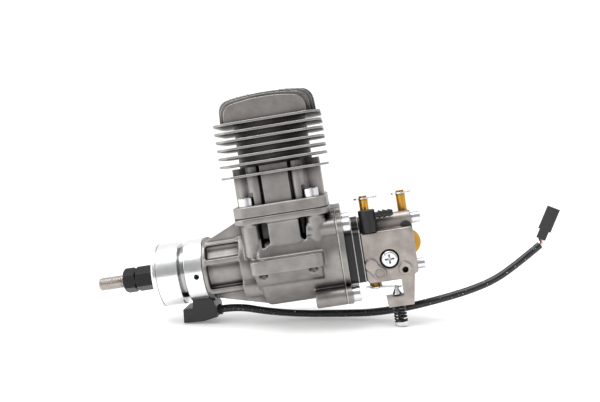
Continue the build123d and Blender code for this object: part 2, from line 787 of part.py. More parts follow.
sensor_rear_x = ring_x + ring_len + 2.6
with BuildPart() as sensor_housing:
    with BuildSketch(Plane.XZ.offset(-sensor_y / 2)):
        with BuildLine():
            Polyline(
                (ring_x - 6.9, sensor_bottom_z + 0.6),
                (ring_x - 6.2, -hub_r - 2.0),
                (ring_x - 0.4, -hub_r - 2.0),
                (ring_x + 0.6, -14.2),
                (ring_x + ring_len - 0.4, -14.2),
                (sensor_rear_x, -hub_r - 3.2),
                (sensor_rear_x, sensor_bottom_z + 1.4),
                (ring_x + ring_len - 6, sensor_bottom_z),
                close=True,
            )
        make_face()
    extrude(amount=sensor_y)
    bore(ring_x - 12, ring_len + 12, hub_r + fit_gap)
    bore(flange_x - 0.1, 8, nose_flange_r + fit_gap)
    with BuildSketch(Plane.YZ.offset(sensor_rear_x)):
        with Locations((0, lead_exit_z)):
            Circle(lead_r + 0.9)
    extrude(amount=gland_len)
finish(sensor_housing, "sensor_housing")

# ---------------------------------------------------------------- piston, rings and rod
with BuildPart() as piston:
    with BuildSketch(Plane.XY.offset(crown_z - piston_h)):
        Circle(bore_d / 2 - running_gap)
    extrude(amount=piston_h)
    with BuildSketch(Plane.XY.offset(crown_z - piston_h)):
        Circle(bore_d / 2 - piston_wall)
    extrude(amount=piston_h - 4.0, mode=Mode.SUBTRACT)
    # bosses for the wrist pin
    for side in (-1, 1):
        with BuildSketch(Plane.YZ.offset(side * (rod_w / 2 + 0.8))):
            with Locations((0, pin_z)):
                Circle(wrist_pin_r + 2.4)
            with Locations((0, pin_z + 5.5)):
                Rectangle(2 * wrist_pin_r + 4.8, 9.0)
        extrude(amount=side * (bore_d / 2 - rod_w / 2 - piston_wall - 0.4))
    with BuildSketch(Plane.YZ.offset(-bore_d / 2)):
        with Locations((0, pin_z)):
            Circle(wrist_pin_r + 0.01)
    extrude(amount=bore_d, mode=Mode.SUBTRACT)
    # ring groove
    with BuildSketch(Plane.XY.offset(crown_z - 3.2)):
        Circle(bore_d / 2)
        Circle(bore_d / 2 - 1.5, mode=Mode.SUBTRACT)
    extrude(amount=1.2, mode=Mode.SUBTRACT)
finish(piston, "piston")

with BuildPart() as piston_ring:
    with BuildSketch(Plane.XY.offset(crown_z - 3.15)):
        Circle(bore_d / 2 - 0.02)
        Circle(bore_d / 2 - 1.4, mode=Mode.SUBTRACT)
        with Locations((-bore_d / 2, 0)):
            Rectangle(6, 0.4, mode=Mode.SUBTRACT)
    extrude(amount=1.1)
finish(piston_ring, "piston_ring")

wrist_pin_len = bore_d - 2 * wrist_pin_inset
with BuildPart() as wrist_pin:
    with BuildSketch(Plane.YZ.offset(-wrist_pin_len / 2)):
        with Locations((0, pin_z)):
            Circle(wrist_pin_r)
            Circle(wrist_pin_r - pin_wall, mode=Mode.SUBTRACT)
    extrude(amount=wrist_pin_len)
finish(wrist_pin, "wrist_pin")

with BuildPart() as wrist_pin_clips:
    for x0 in (-wrist_pin_len / 2 - 0.9, wrist_pin_len / 2 + 0.1):
        with BuildSketch(Plane.YZ.offset(x0)):
            with Locations((0, pin_z)):
                Circle(wrist_pin_r - 0.05)
                Circle(wrist_pin_r - 0.85, mode=Mode.SUBTRACT)
            with Locations((0, pin_z - wrist_pin_r)):
                Rectangle(3.0, 3.0, mode=Mode.SUBTRACT)
        extrude(amount=0.8)
finish(wrist_pin_clips, "wrist_pin_clips")

with BuildPart() as connecting_rod:
    with BuildSketch(Plane.YZ.offset(-rod_w / 2)):
        with Locations((0, pin_z)):
            Circle(small_end_r)
        with Locations((0, -crank_throw)):
            Circle(big_end_r)
    extrude(amount=rod_w)
    with BuildSketch(Plane.YZ.offset(-rod_w / 2 + 1.0)):
        with BuildLine():
            Polyline((-4.6, -crank_throw), (-3.4, pin_z), (3.4, pin_z), (4.6, -crank_throw), close=True)
        make_face()
    extrude(amount=rod_w - 2.0)
    # the shank is thinned on both faces to an I section
    for x0, depth in ((-rod_w / 2 + 1.0, 1.6), (rod_w / 2 - 1.0, -1.6)):
        with BuildSketch(Plane.YZ.offset(x0)):
            with BuildLine():
                Polyline(
                    (-2.4, -crank_throw + big_end_r + 1.5),
                    (-1.7, pin_z - small_end_r - 1.5),
                    (1.7, pin_z - small_end_r - 1.5),
                    (2.4, -crank_throw + big_end_r + 1.5),
                    close=True,
                )
            make_face()
        extrude(amount=depth, mode=Mode.SUBTRACT)
    with BuildSketch(Plane.YZ.offset(-rod_w / 2)):
        with Locations((0, pin_z)):
            Circle(wrist_pin_r + running_gap + needle_t + 0.02)
        with Locations((0, -crank_throw)):
            Circle(crankpin_r + running_gap + needle_t)
    extrude(amount=rod_w, mode=Mode.SUBTRACT)
finish(connecting_rod, "connecting_rod")


def needle_bearing(z, inner_r, length):
    """A drawn-cup needle bearing along X, as a plain ring."""
    with BuildPart() as ring:
        with BuildSketch(Plane.YZ.offset(-length / 2)):
            with Locations((0, z)):
                Circle(inner_r + needle_t)
                Circle(inner_r, mode=Mode.SUBTRACT)
        extrude(amount=length)
    return ring


small_end_bearing = needle_bearing(pin_z, wrist_pin_r + running_gap, rod_w)
finish(small_end_bearing, "small_end_bearing")
big_end_bearing = needle_bearing(-crank_throw, crankpin_r + 0.02, rod_w)
finish(big_end_bearing, "big_end_bearing")

with BuildPart() as crankpin:
    with BuildSketch(Plane.YZ.offset(-rod_w / 2)):
        with Locations((0, -crank_throw)):
            Circle(crankpin_r)
    extrude(amount=rod_w + 0.6)
    with BuildSketch(Plane.YZ.offset(rod_w / 2 + 0.2)):
        with Locations((0, -crank_throw)):
            Circle(crankpin_r + 1.2)
    extrude(amount=1.2)
finish(crankpin, "crankpin")

# ---------------------------------------------------------------- reed block, spacer and gaskets
def intake_sketch():
    """The outline that the reed block, spacer and gaskets share, in the plane being drawn on."""
    with Locations((0, throat_z - intake_drop)):
        RectangleRounded(intake_w, intake_h, 3.0)
    with Locations(*carb_bolts_at):
        Circle(bolt_ridge_r + 0.8)


with BuildPart() as reed_block:
    with BuildSketch(Plane.YZ.offset(reed_x)):
        intake_sketch()
    extrude(amount=reed_flange_t)
    # cage: a wedge that reaches into the crank chamber
    with BuildSketch(Plane.XZ.offset(-cage_half_w)):
        with BuildLine():
            Polyline(
                (reed_x, throat_z - cage_base),
                (reed_x - cage_len, throat_z - cage_tip),
                (reed_x - cage_len, throat_z + cage_tip),
                (reed_x, throat_z + cage_base),
                close=True,
            )
        make_face()
    extrude(amount=2 * cage_half_w)
    # the passage inside the wedge, and a window in each sloping face
    with BuildSketch(Plane.XZ.offset(2.0 - cage_half_w)):
        with BuildLine():
            Polyline(
                (reed_x + reed_flange_t, throat_z - cage_base + 2.0),
                (reed_x - cage_len + 2.0, throat_z - cage_tip + 0.8),
                (reed_x - cage_len + 2.0, throat_z + cage_tip - 0.8),
                (reed_x + reed_flange_t, throat_z + cage_base - 2.0),
                close=True,
            )
        make_face()
    extrude(amount=2 * cage_half_w - 4.0, mode=Mode.SUBTRACT)
    for window_y in (-5.5, 1.0):
        with BuildSketch(Plane.XZ.offset(window_y)):
            with Locations((reed_x - 5.5, throat_z)):
                Rectangle(6.0, 2 * cage_base + 2.0)
        extrude(amount=4.5, mode=Mode.SUBTRACT)
    with BuildSketch(Plane.YZ.offset(reed_x)):
        with Locations(*carb_bolts_at):
            Circle(carb_bolt_r + fit_gap)
    extrude(amount=reed_flange_t, mode=Mode.SUBTRACT)
finish(reed_block, "reed_block")

reed_slope = atan2(cage_base - cage_tip, cage_len)
petal_back = 6.5        # middle of a petal in front of the flange
with BuildPart() as reed_petals:
    for side in (-1, 1):
        petal_plane = Plane(
            origin=(reed_x - petal_back, 0, throat_z + side * (cage_base - petal_back * tan(reed_slope))),
            x_dir=(cos(reed_slope), 0, side * sin(reed_slope)),
            z_dir=(-sin(reed_slope), 0, side * cos(reed_slope)),
        )
        with BuildSketch(petal_plane.offset(0.02)):
            Rectangle(10.0, 14.0)
        extrude(amount=0.25)
finish(reed_petals, "reed_petals")


def intake_ring(x0, thickness, passage_r, hole_r):
    """A plate of the intake stack with its passage and bolt holes."""
    with BuildPart() as plate:
        with BuildSketch(Plane.YZ.offset(x0)):
            intake_sketch()
            with Locations((0, throat_z)):
                Circle(passage_r, mode=Mode.SUBTRACT)
            with Locations(*carb_bolts_at):
                Circle(hole_r, mode=Mode.SUBTRACT)
        extrude(amount=thickness)
    return plate


intake_spacer = intake_ring(spacer_x, spacer_t, throttle_bore_r, carb_bolt_r + 0.2)
finish(intake_spacer, "intake_spacer")
with BuildPart() as intake_gaskets:
    add(intake_ring(spacer_x - intake_gasket_t, intake_gasket_t, throttle_bore_r + 0.4, carb_bolt_r + 0.2).part)
    add(intake_ring(spacer_x + spacer_t, intake_gasket_t, throttle_bore_r + 0.4, carb_bolt_r + 0.2).part)
finish(intake_gaskets, "intake_gaskets")

# ---------------------------------------------------------------- carburettor body
shaft_boss_z = ridge_top_z - 1.2
flare_x = choke_x - choke_bore_r - 0.4      # where the air mouth reaches its full width
needles_x = [carb_x + 12.5, carb_x + 19.5]
needle_y = 7.0
needle_r = 1.6
cover_screw_at = (carb_x + 14.6, -8.0)
cover_screw_r = 1.75
metering_x = carb_x + 15.5
metering_z = -4.5
metering_pitch_x = 24.0
metering_pitch_z = 21.0
metering_screw_r = 1.2
elbow_pin_r = 1.5
elbow_x = carb_x + 5.6
elbow_y = 13.7
elbow_r = 4.8
with BuildPart() as carb_body:
    with BuildSketch(Plane.YZ.offset(carb_x)):
        with BuildLine():
            Polyline(
                (-carb_half_y, carb_bottom_z + 3),
                (-carb_half_y, carb_top_z),
                (carb_half_y, carb_top_z),
                (carb_half_y, carb_bottom_z + 3),
                (carb_half_y - 3, carb_bottom_z),
                (-carb_half_y + 3, carb_bottom_z),
                close=True,
            )
        make_face()
    extrude(amount=carb_len)
    # ridge over the upper bolt, boss around the lower one, and a block around the two shafts
    with BuildSketch(Plane.YZ.offset(carb_x)):
        with Locations(*carb_bolts_at):
            Circle(bolt_ridge_r)
        with Locations((-carb_bolt_y, throat_z + carb_bolt_dz / 2), (carb_bolt_y, throat_z - carb_bolt_dz / 2)):
            Rectangle(2 * bolt_ridge_r, carb_bolt_dz)
    extrude(amount=carb_len)
    with BuildSketch(Plane.XY.offset(carb_top_z - 1)):
        with Locations((throttle_x, 0), (choke_x, 0)):
            Circle(carb_shaft_r + 1.0)
            Rectangle(2 * carb_shaft_r + 2.0, 2 * carb_shaft_r + 4.0)
    extrude(amount=shaft_boss_z - carb_top_z + 1)
    with BuildSketch(Plane.XY.offset(carb_bottom_z - 1.5)):
        with Locations((throttle_x, 0)):
            Circle(carb_shaft_r + 1.7)
    extrude(amount=4)
    # flange at the engine end
    with BuildSketch(Plane.YZ.offset(carb_x)):
        with Locations((0, throat_z - 0.6)):
            RectangleRounded(2 * carb_half_y - 1.0, 2 * carb_bolt_dz + 7.0, 4.0)
    extrude(amount=2.6)
    # air mouth
    with BuildSketch(Plane.YZ.offset(carb_x)):
        with Locations((0, throat_z)):
            Circle(throttle_bore_r)
    extrude(amount=11.0, mode=Mode.SUBTRACT)
    with BuildSketch(Plane.YZ.offset(carb_x)):
        with Locations((0, throat_z)):
            Circle(venturi_r)
    extrude(amount=carb_len, mode=Mode.SUBTRACT)
    with BuildSketch(Plane.YZ.offset(flare_x - 1.8)):
        with Locations((0, throat_z)):
            Circle(venturi_r)
    with BuildSketch(Plane.YZ.offset(flare_x)):
        with Locations((0, throat_z)):
            Circle(choke_bore_r)
    loft(mode=Mode.SUBTRACT)
    with BuildSketch(Plane.YZ.offset(flare_x)):
        with Locations((0, throat_z)):
            Circle(choke_bore_r)
    extrude(amount=carb_x + carb_len - flare_x, mode=Mode.SUBTRACT)
    # shaft holes and bolt holes
    with BuildSketch(Plane.XY.offset(carb_bottom_z - 6)):
        with Locations((throttle_x, 0), (choke_x, 0)):
            Circle(carb_shaft_r + running_gap)
    extrude(amount=60, mode=Mode.SUBTRACT)
    with BuildSketch(Plane.YZ.offset(carb_x)):
        with Locations(*carb_bolts_at):
            Circle(carb_bolt_r + 0.15)
    extrude(amount=carb_len, mode=Mode.SUBTRACT)
    # room for the fuel elbow beside the ridge
    with BuildSketch(Plane.XY.offset(carb_top_z)):
        with Locations((elbow_x, -elbow_y)):
            Circle(elbow_r + 0.15)
    extrude(amount=20, mode=Mode.SUBTRACT)
    # needle holes
    with BuildSketch(Plane.XY.offset(carb_top_z)):
        with Locations(*[(x, needle_y) for x in needles_x]):
            Circle(needle_r + fit_gap)
    extrude(amount=-7, mode=Mode.SUBTRACT)
    # metering chamber on the far side
    with BuildSketch(Plane.XZ.offset(-carb_half_y)):
        with Locations((metering_x, metering_z)):
            Circle(9.0)
    extrude(amount=1.6, mode=Mode.SUBTRACT)
    # cover screw holes
    with BuildSketch(Plane.XZ.offset(carb_half_y)):
        with Locations(cover_screw_at):
            Circle(cover_screw_r + fit_gap)
    extrude(amount=-2.2, mode=Mode.SUBTRACT)
    with BuildSketch(Plane.XZ.offset(-carb_half_y)):
        with Locations((metering_x, metering_z)):
            with GridLocations(metering_pitch_x, metering_pitch_z, 2, 2):
                Circle(metering_screw_r + fit_gap)
    extrude(amount=2.0, mode=Mode.SUBTRACT)
finish(carb_body, "carb_body")

carb_bolts = socket_screws(
    carb_bolts_at, Plane.YZ.offset(carb_x + carb_len), 3.4, 5.6, carb_bolt_r, carb_x + carb_len - reed_x
)
finish(carb_bolts, "carb_bolts")

# ---------------------------------------------------------------- pump cover with its idle-screw bracket
foot_left_x = idle_x - 6.3
foot_right_x = idle_x + 9.2


def cover_outline():
    """Outline of the pump cover's plate, shared with the gasket under it."""
    with BuildLine() as outline:
        Polyline(
            (carb_x, carb_top_z),
            (carb_x, cover_bottom_z + 3.0),
            (carb_x + 1.2, cover_bottom_z),
            (carb_x + carb_len - 6.0, cover_bottom_z),
            (carb_x + carb_len - 0.9, cover_bottom_z + 3.0),
            (carb_x + carb_len, carb_top_z - 3.0),
            (carb_x + carb_len - 1.2, carb_top_z),
            close=True,
        )
    make_face(outline.edges())


with BuildPart() as pump_cover:
    with BuildSketch(Plane.XZ.offset(cover_back_y)):
        cover_outline()
    extrude(amount=cover_t)
    chamfer(pump_cover.faces().sort_by(Axis.Y)[0].edges(), 0.7)
    # arm and foot of the idle-screw bracket
    with BuildSketch(Plane.XZ.offset(cover_back_y)):
        with BuildLine():
            Polyline(
                (idle_x + 3.6, cover_bottom_z + 8),
                (idle_x + 3.6, foot_top_z - foot_t),
                (foot_right_x - 0.6, foot_top_z - foot_t),
                (foot_right_x + 2.2, cover_bottom_z + 2),
                (foot_right_x + 2.2, cover_bottom_z + 8),
                close=True,
            )
        make_face()
    extrude(amount=cover_t)
    with BuildSketch(Plane.XZ.offset(idle_y - 4.6)):
        with BuildLine():
            Polyline(
                (foot_left_x, foot_top_z),
                (foot_left_x + 0.4, foot_top_z - foot_t),
                (foot_right_x - 0.6, foot_top_z - foot_t),
                (foot_right_x, foot_top_z),
                close=True,
            )
        make_face()
    extrude(amount=cover_face_y - idle_y + 4.6)
    # raised bosses on the face
    with BuildSketch(Plane.XZ.offset(cover_face_y - 1)):
        with Locations((carb_x + 3.9, -10.4), (carb_x + 22.6, -14.6)):
            Circle(3.6)
        with Locations((carb_x + 8.0, -15.4)):
            Circle(3.7)
        with BuildLine():
            Polyline((carb_x + 1.5, -13.0), (carb_x + 6.4, -18.4), (carb_x + 10.4, -13.2), (carb_x + 5.2, -7.6), close=True)
        make_face()
    extrude(amount=2.1)
    with BuildSketch(Plane.XZ.offset(cover_face_y + 1.1)):
        with Locations((carb_x + 8.0, -15.4)):
            Circle(2.6)
    extrude(amount=-0.6, mode=Mode.SUBTRACT)
    with BuildSketch(Plane.XZ.offset(cover_face_y + 1.1)):
        with Locations((carb_x + 22.6, -15.2)):
            Circle(1.7)
    extrude(amount=-4.0, mode=Mode.SUBTRACT)
    # recess and hole for the centre screw
    with BuildSketch(Plane.XZ.offset(cover_face_y + 1.1)):
        with Locations(cover_screw_at):
            Circle(5.5)
    extrude(amount=-2.3, mode=Mode.SUBTRACT)
    with BuildSketch(Plane.XZ.offset(cover_face_y)):
        with Locations(cover_screw_at):
            Circle(cover_screw_r + fit_gap)
    extrude(amount=-8, mode=Mode.SUBTRACT)
    # threaded hole for the idle screw
    with BuildSketch(Plane.XY.offset(foot_top_z + 1)):
        with Locations((idle_x, -idle_y)):
            Circle(idle_r + running_gap)
    extrude(amount=-foot_t - 2, mode=Mode.SUBTRACT)
    # inlet hole under the fuel elbow
    with BuildSketch(Plane.XY.offset(carb_top_z)):
        with Locations((elbow_x, -elbow_y)):
            Circle(elbow_pin_r + fit_gap)
    extrude(amount=-5, mode=Mode.SUBTRACT)
finish(pump_cover, "pump_cover")

with BuildPart() as pump_gasket:
    with BuildSketch(Plane.XZ.offset(carb_half_y)):
        cover_outline()
        with Locations((carb_x + carb_len - 3.4, carb_top_z)):
            Circle(2.9)
        with Locations(cover_screw_at):
            Circle(cover_screw_r + 0.45, mode=Mode.SUBTRACT)
    extrude(amount=pump_gasket_t)
finish(pump_gasket, "pump_gasket")

with BuildPart() as pump_cover_screw:
    with BuildSketch(Plane.XZ.offset(cover_face_y - 1.2)):
        with Locations(cover_screw_at):
            Circle(4.7)
    extrude(amount=2.2)
    fillet(pump_cover_screw.edges().filter_by(GeomType.CIRCLE).sort_by(Axis.Y)[0], 1.2)
    with BuildSketch(Plane.XZ.offset(cover_face_y - 1.2)):
        with Locations(cover_screw_at):
            Circle(cover_screw_r)
    extrude(amount=-5.4)
    with BuildSketch(Plane.XZ.offset(cover_face_y + 1.1)):
        with Locations(cover_screw_at):
            Rectangle(5.2, 1.0)
            Rectangle(1.0, 5.2)
    extrude(amount=-1.5, mode=Mode.SUBTRACT)
finish(pump_cover_screw, "pump_cover_screw")

# ---------------------------------------------------------------- metering side
def metering_outline():
    """Outline of the metering cover and its diaphragm."""
    with Locations((metering_x, metering_z - 0.3)):
        RectangleRounded(metering_pitch_x + 5.6, metering_pitch_z + 5.4, 4.0)


def metering_holes(radius):
    """The four cover-screw holes, as circles in the plane being drawn on."""
    with Locations((metering_x, metering_z)):
        with GridLocations(metering_pitch_x, metering_pitch_z, 2, 2):
            Circle(radius, mode=Mode.SUBTRACT)


with BuildPart() as metering_diaphragm:
    with BuildSketch(Plane.XZ.offset(-carb_half_y - membrane_t)):
        metering_outline()
        metering_holes(metering_screw_r + 0.2)
    extrude(amount=membrane_t)
finish(metering_diaphragm, "metering_diaphragm")

with BuildPart() as metering_cover:
    with BuildSketch(Plane.XZ.offset(-carb_half_y - membrane_t - metering_t)):
        metering_outline()
        metering_holes(metering_screw_r + 0.2)
        with Locations((metering_x, metering_z)):
            Circle(1.2, mode=Mode.SUBTRACT)
    extrude(amount=metering_t)
    with BuildSketch(Plane.XZ.offset(-carb_half_y - membrane_t - metering_t)):
        with Locations((metering_x, metering_z)):
            Circle(8.5)
            Circle(1.2, mode=Mode.SUBTRACT)
    extrude(amount=-0.7)
    with BuildSketch(Plane.XZ.offset(-carb_half_y - membrane_t)):
        with Locations((metering_x, metering_z)):
            Circle(8.0)
    extrude(amount=-2.0, mode=Mode.SUBTRACT)
finish(metering_cover, "metering_cover")

metering_back = Plane(
    origin=(0, carb_half_y + membrane_t + metering_t, 0), x_dir=(1, 0, 0), z_dir=(0, 1, 0)
)
metering_screw_at = [
    (metering_x + sx * metering_pitch_x / 2, -metering_z + sz * metering_pitch_z / 2)
    for sx in (-1, 1)
    for sz in (-1, 1)
]
metering_screws = socket_screws(
    metering_screw_at, metering_back, 2.2, 1.7, metering_screw_r, metering_t + membrane_t + 1.3
)
finish(metering_screws, "metering_screws")


def mixture_needle(x, name):
    """A mixture needle in the top of the body: a knurled head on a tapered stem."""
    with BuildPart() as needle:
        with BuildSketch(Plane.XY.offset(carb_top_z)):
            with Locations((x, needle_y)):
                Circle(needle_r)
        extrude(amount=-5.5)
        with BuildSketch(Plane.XY.offset(carb_top_z + 0.4)):
            with Locations((x, needle_y)):
                Circle(2.4)
        extrude(amount=5.0)
        with BuildSketch(Plane.XY.offset(carb_top_z)):
            with Locations((x, needle_y)):
                Circle(needle_r)
        extrude(amount=1)
        with BuildSketch(Plane.XY.offset(carb_top_z + 5.4)):
            with Locations((x, needle_y)):
                Rectangle(6.0, 0.8)
        extrude(amount=-1.2, mode=Mode.SUBTRACT)
    finish(needle, name)


mixture_needle(needles_x[0], "low_needle")
mixture_needle(needles_x[1], "high_needle")

# ---------------------------------------------------------------- fuel elbow
with BuildPart() as fuel_elbow:
    with BuildSketch(Plane.XY.offset(carb_top_z)):
        with Locations((elbow_x, -elbow_y)):
            Circle(elbow_r)
    extrude(amount=12.8)
    chamfer(fuel_elbow.edges().filter_by(GeomType.CIRCLE).group_by(Axis.Z)[-1], 0.4)
    with BuildSketch(Plane.XY.offset(carb_top_z)):
        with Locations((elbow_x, -elbow_y)):
            Circle(elbow_pin_r)
    extrude(amount=-4)
    # nipple with three barbs, towards the rear
    nipple_z = carb_top_z + 9.3
    with BuildSketch(Plane.XZ.offset(elbow_y)):
        with BuildLine():
            Polyline(
                (elbow_x, nipple_z),
                (elbow_x, nipple_z + 1.6),
                (elbow_x + 6.6, nipple_z + 1.6),
                (elbow_x + 6.6, nipple_z + 2.5),
                (elbow_x + 8.6, nipple_z + 1.7),
                (elbow_x + 9.1, nipple_z + 1.7),
                (elbow_x + 9.1, nipple_z + 2.5),
                (elbow_x + 11.6, nipple_z + 1.7),
                (elbow_x + 12.1, nipple_z + 1.7),
                (elbow_x + 12.1, nipple_z + 2.4),
                (elbow_x + 14.9, nipple_z + 1.5),
                (elbow_x + 14.9, nipple_z),
                close=True,
            )
        make_face()
    revolve(axis=Axis((elbow_x, -elbow_y, nipple_z), (1, 0, 0)))
    with BuildSketch(Plane.YZ.offset(elbow_x)):
        with Locations((-elbow_y, nipple_z)):
            Circle(0.8)
    extrude(amount=16, mode=Mode.SUBTRACT)
finish(fuel_elbow, "fuel_elbow")

# ---------------------------------------------------------------- throttle
throttle_bottom_z = carb_bottom_z - 7.6
butterfly_slot = plate_t + 0.1


def carb_shaft(x, z_low, slot_r, plate_across):
    """A valve shaft along Z with a thicker post above the body and a slot for its plate."""
    with BuildPart() as shaft:
        with BuildSketch(Plane.XY.offset(z_low)):
            with Locations((x, 0)):
                Circle(carb_shaft_r)
        extrude(amount=lever_top_z + lever_t + 1.0 - z_low)
        with BuildSketch(Plane.XY.offset(shaft_boss_z + part_gap)):
            with Locations((x, 0)):
                Circle(carb_shaft_r + 0.4)
        extrude(amount=lever_top_z - shaft_boss_z - part_gap)
        # slot through which the valve plate passes
        with BuildSketch(Plane.XY.offset(throat_z - slot_r)):
            with Locations((x, 0)):
                if plate_across:
                    Rectangle(butterfly_slot, 2 * carb_shaft_r + 1)
                else:
                    Rectangle(2 * carb_shaft_r + 1, butterfly_slot)
        extrude(amount=2 * slot_r, mode=Mode.SUBTRACT)
    return shaft


throttle_shaft = carb_shaft(throttle_x, throttle_bottom_z, throttle_bore_r, True)
finish(throttle_shaft, "throttle_shaft")

with BuildPart() as throttle_plate:
    with BuildSketch(Plane.YZ.offset(throttle_x - plate_t / 2)):
        with Locations((0, throat_z)):
            Circle(throttle_bore_r - 0.06)
    extrude(amount=plate_t)
finish(throttle_plate, "throttle_plate")


def top_lever(x, reach_front, reach_rear, hole_x, name):
    """The thin steel lever on top of a valve shaft, with a linkage hole."""
    with BuildPart() as lever:
        with BuildSketch(Plane.XY.offset(lever_top_z)):
            with Locations((x + (reach_rear - reach_front) / 2, 0)):
                RectangleRounded(reach_front + reach_rear, 5.4, 2.6)
            with Locations((x, 0)):
                Circle(carb_shaft_r + 1.5)
                Circle(carb_shaft_r + 0.02, mode=Mode.SUBTRACT)
            with Locations((x + hole_x, 0)):
                Circle(link_hole_r, mode=Mode.SUBTRACT)
        extrude(amount=lever_t)
    finish(lever, name)


top_lever(throttle_x, 5.6, 8.4, 6.4, "throttle_lever")

# lower lever: its side rests near the idle screw's cone, so the screw sets how far the throttle closes
cone_r = 2.9
cone_h = 5.4
idle_lever_w = 3.4
idle_lever_z = throttle_bottom_z + 0.6
cone_tip_z = idle_lever_z + 2.2
cone_touch_r = cone_r * (cone_tip_z - idle_lever_z) / cone_h
cone_reach = sqrt((idle_x - throttle_x) ** 2 + idle_y**2)
beside_cone = asin((idle_lever_w / 2 + cone_touch_r + part_gap) / cone_reach)
idle_lever_turn = atan2(-idle_y, idle_x - throttle_x) + beside_cone
idle_lever_len = cone_reach + 1.5
lever_hub_r = carb_shaft_r + 1.7
with BuildPart() as idle_lever:
    with BuildSketch(
        Plane(
            origin=(throttle_x, 0, idle_lever_z),
            x_dir=(cos(idle_lever_turn), sin(idle_lever_turn), 0),
            z_dir=(0, 0, 1),
        )
    ):
        with Locations((idle_lever_len / 2, 0)):
            RectangleRounded(idle_lever_len, idle_lever_w, 0.8)
        Circle(lever_hub_r)
        with Locations((-lever_hub_r - 0.5, 0)):
            Rectangle(4.0, 2.6)
        Circle(carb_shaft_r + 0.02, mode=Mode.SUBTRACT)
    extrude(amount=lever_t)
finish(idle_lever, "idle_lever")

# return spring: close-wound turns around the shaft between the body and the lower lever
spring_wire_r = 0.35
with BuildPart() as throttle_spring:
    spring_z0 = idle_lever_z + lever_t + spring_wire_r + 0.1
    for turn in range(3):
        with Locations((throttle_x, 0, spring_z0 + turn * 1.15)):
            Torus(carb_shaft_r + 1.0, spring_wire_r)
finish(throttle_spring, "throttle_spring")

# ---------------------------------------------------------------- choke
choke_bottom_z = carb_bottom_z + 1.0
choke_shaft = carb_shaft(choke_x, choke_bottom_z, choke_bore_r, False)
finish(choke_shaft, "choke_shaft")

with BuildPart() as choke_plate:
    with BuildSketch(Plane.XZ.offset(-plate_t / 2)):
        with Locations((choke_x, throat_z)):
            Circle(choke_bore_r - 0.08)
    extrude(amount=plate_t)
finish(choke_plate, "choke_plate")
top_lever(choke_x, 5.6, 6.6, 5.0, "choke_lever")

# ---------------------------------------------------------------- idle screw and spring
cone_base_z = cone_tip_z - cone_h
idle_head_z = foot_top_z - foot_t - 11.6
idle_head_t = 2.2
with BuildPart() as idle_screw:
    with BuildSketch(Plane.XY.offset(idle_head_z + idle_head_t)):
        with Locations((idle_x, -idle_y)):
            Circle(idle_r)
    extrude(amount=cone_base_z - idle_head_z - idle_head_t)
    with BuildSketch(Plane.XZ.offset(idle_y)):
        with BuildLine():
            Polyline(
                (idle_x, cone_base_z),
                (idle_x + cone_r, cone_base_z),
                (idle_x, cone_tip_z),
                close=True,
            )
        make_face()
    revolve(axis=Axis((idle_x, -idle_y, 0), (0, 0, 1)))
    with BuildSketch(Plane.XY.offset(idle_head_z)):
        with Locations((idle_x, -idle_y)):
            Circle(3.9)
    extrude(amount=idle_head_t)
    with BuildSketch(Plane.XY.offset(idle_head_z)):
        with Locations((idle_x, -idle_y)):
            Rectangle(8.5, 0.9)
    extrude(amount=1.1, mode=Mode.SUBTRACT)
finish(idle_screw, "idle_screw")

idle_wire_r = 0.55
coil_count = 5
coil_low_z = idle_head_z + idle_head_t + 0.1 + idle_wire_r
coil_high_z = foot_top_z - foot_t - 0.1 - idle_wire_r
coil_pitch = (coil_high_z - coil_low_z) / (coil_count - 1)
with BuildPart() as idle_spring:
    for turn in range(coil_count):
        with Locations((idle_x, -idle_y, coil_low_z + turn * coil_pitch)):
            Torus(3.3, idle_wire_r)
finish(idle_spring, "idle_spring")

# ---------------------------------------------------------------- signal lead
# Points chosen along the lead, from the sensor's rear face; a stiff sleeve holds the curve.
lead_points = [
    (sensor_rear_x + gland_len, 0.0, lead_exit_z),
    (-36.0, 0.0, -25.3),
    (-20.0, 3.5, -31.4),
    (0.0, 7.0, -36.6),
    (22.0, 8.0, -39.9),
    (42.0, 6.0, -42.0),
    (62.0, 3.0, -41.2),
    (82.0, 1.0, -38.8),
    (100.0, 0.0, -36.0),
    (116.0, 0.0, -32.0),
    (131.0, 0.5, -24.2),
    (145.0, 1.0, -15.5),
]


def corner_radii(points):
    """The largest tangent arc at each corner: 0.45 of the shorter run over tan(half the turn)."""
    radii = []
    for a, b, c in zip(points, points[1:], points[2:]):
        before = Vector(*b) - Vector(*a)
        after = Vector(*c) - Vector(*b)
        half_turn = radians(before.get_angle(after)) / 2
        radii.append(0.45 * min(before.length, after.length) / tan(half_turn))
    return radii


lead_radii = corner_radii(lead_points)
print("lead arc radii, mm:", [round(r, 1) for r in lead_radii])
with BuildPart() as sensor_lead:
    with BuildLine() as lead_path:
        FilletPolyline(*lead_points, radius=lead_radii)
    with BuildSketch(Plane(origin=lead_points[0], z_dir=Vector(*lead_points[1]) - Vector(*lead_points[0]))):
        Circle(lead_r)
    sweep()
lead_length = sum(edge.length for edge in lead_path.edges())
print("lead length, mm:", round(lead_length, 1), "volume", round(sensor_lead.part.volume, 1),
      "section x length", round(pi * lead_r**2 * lead_length, 1))
finish(sensor_lead, "sensor_lead")

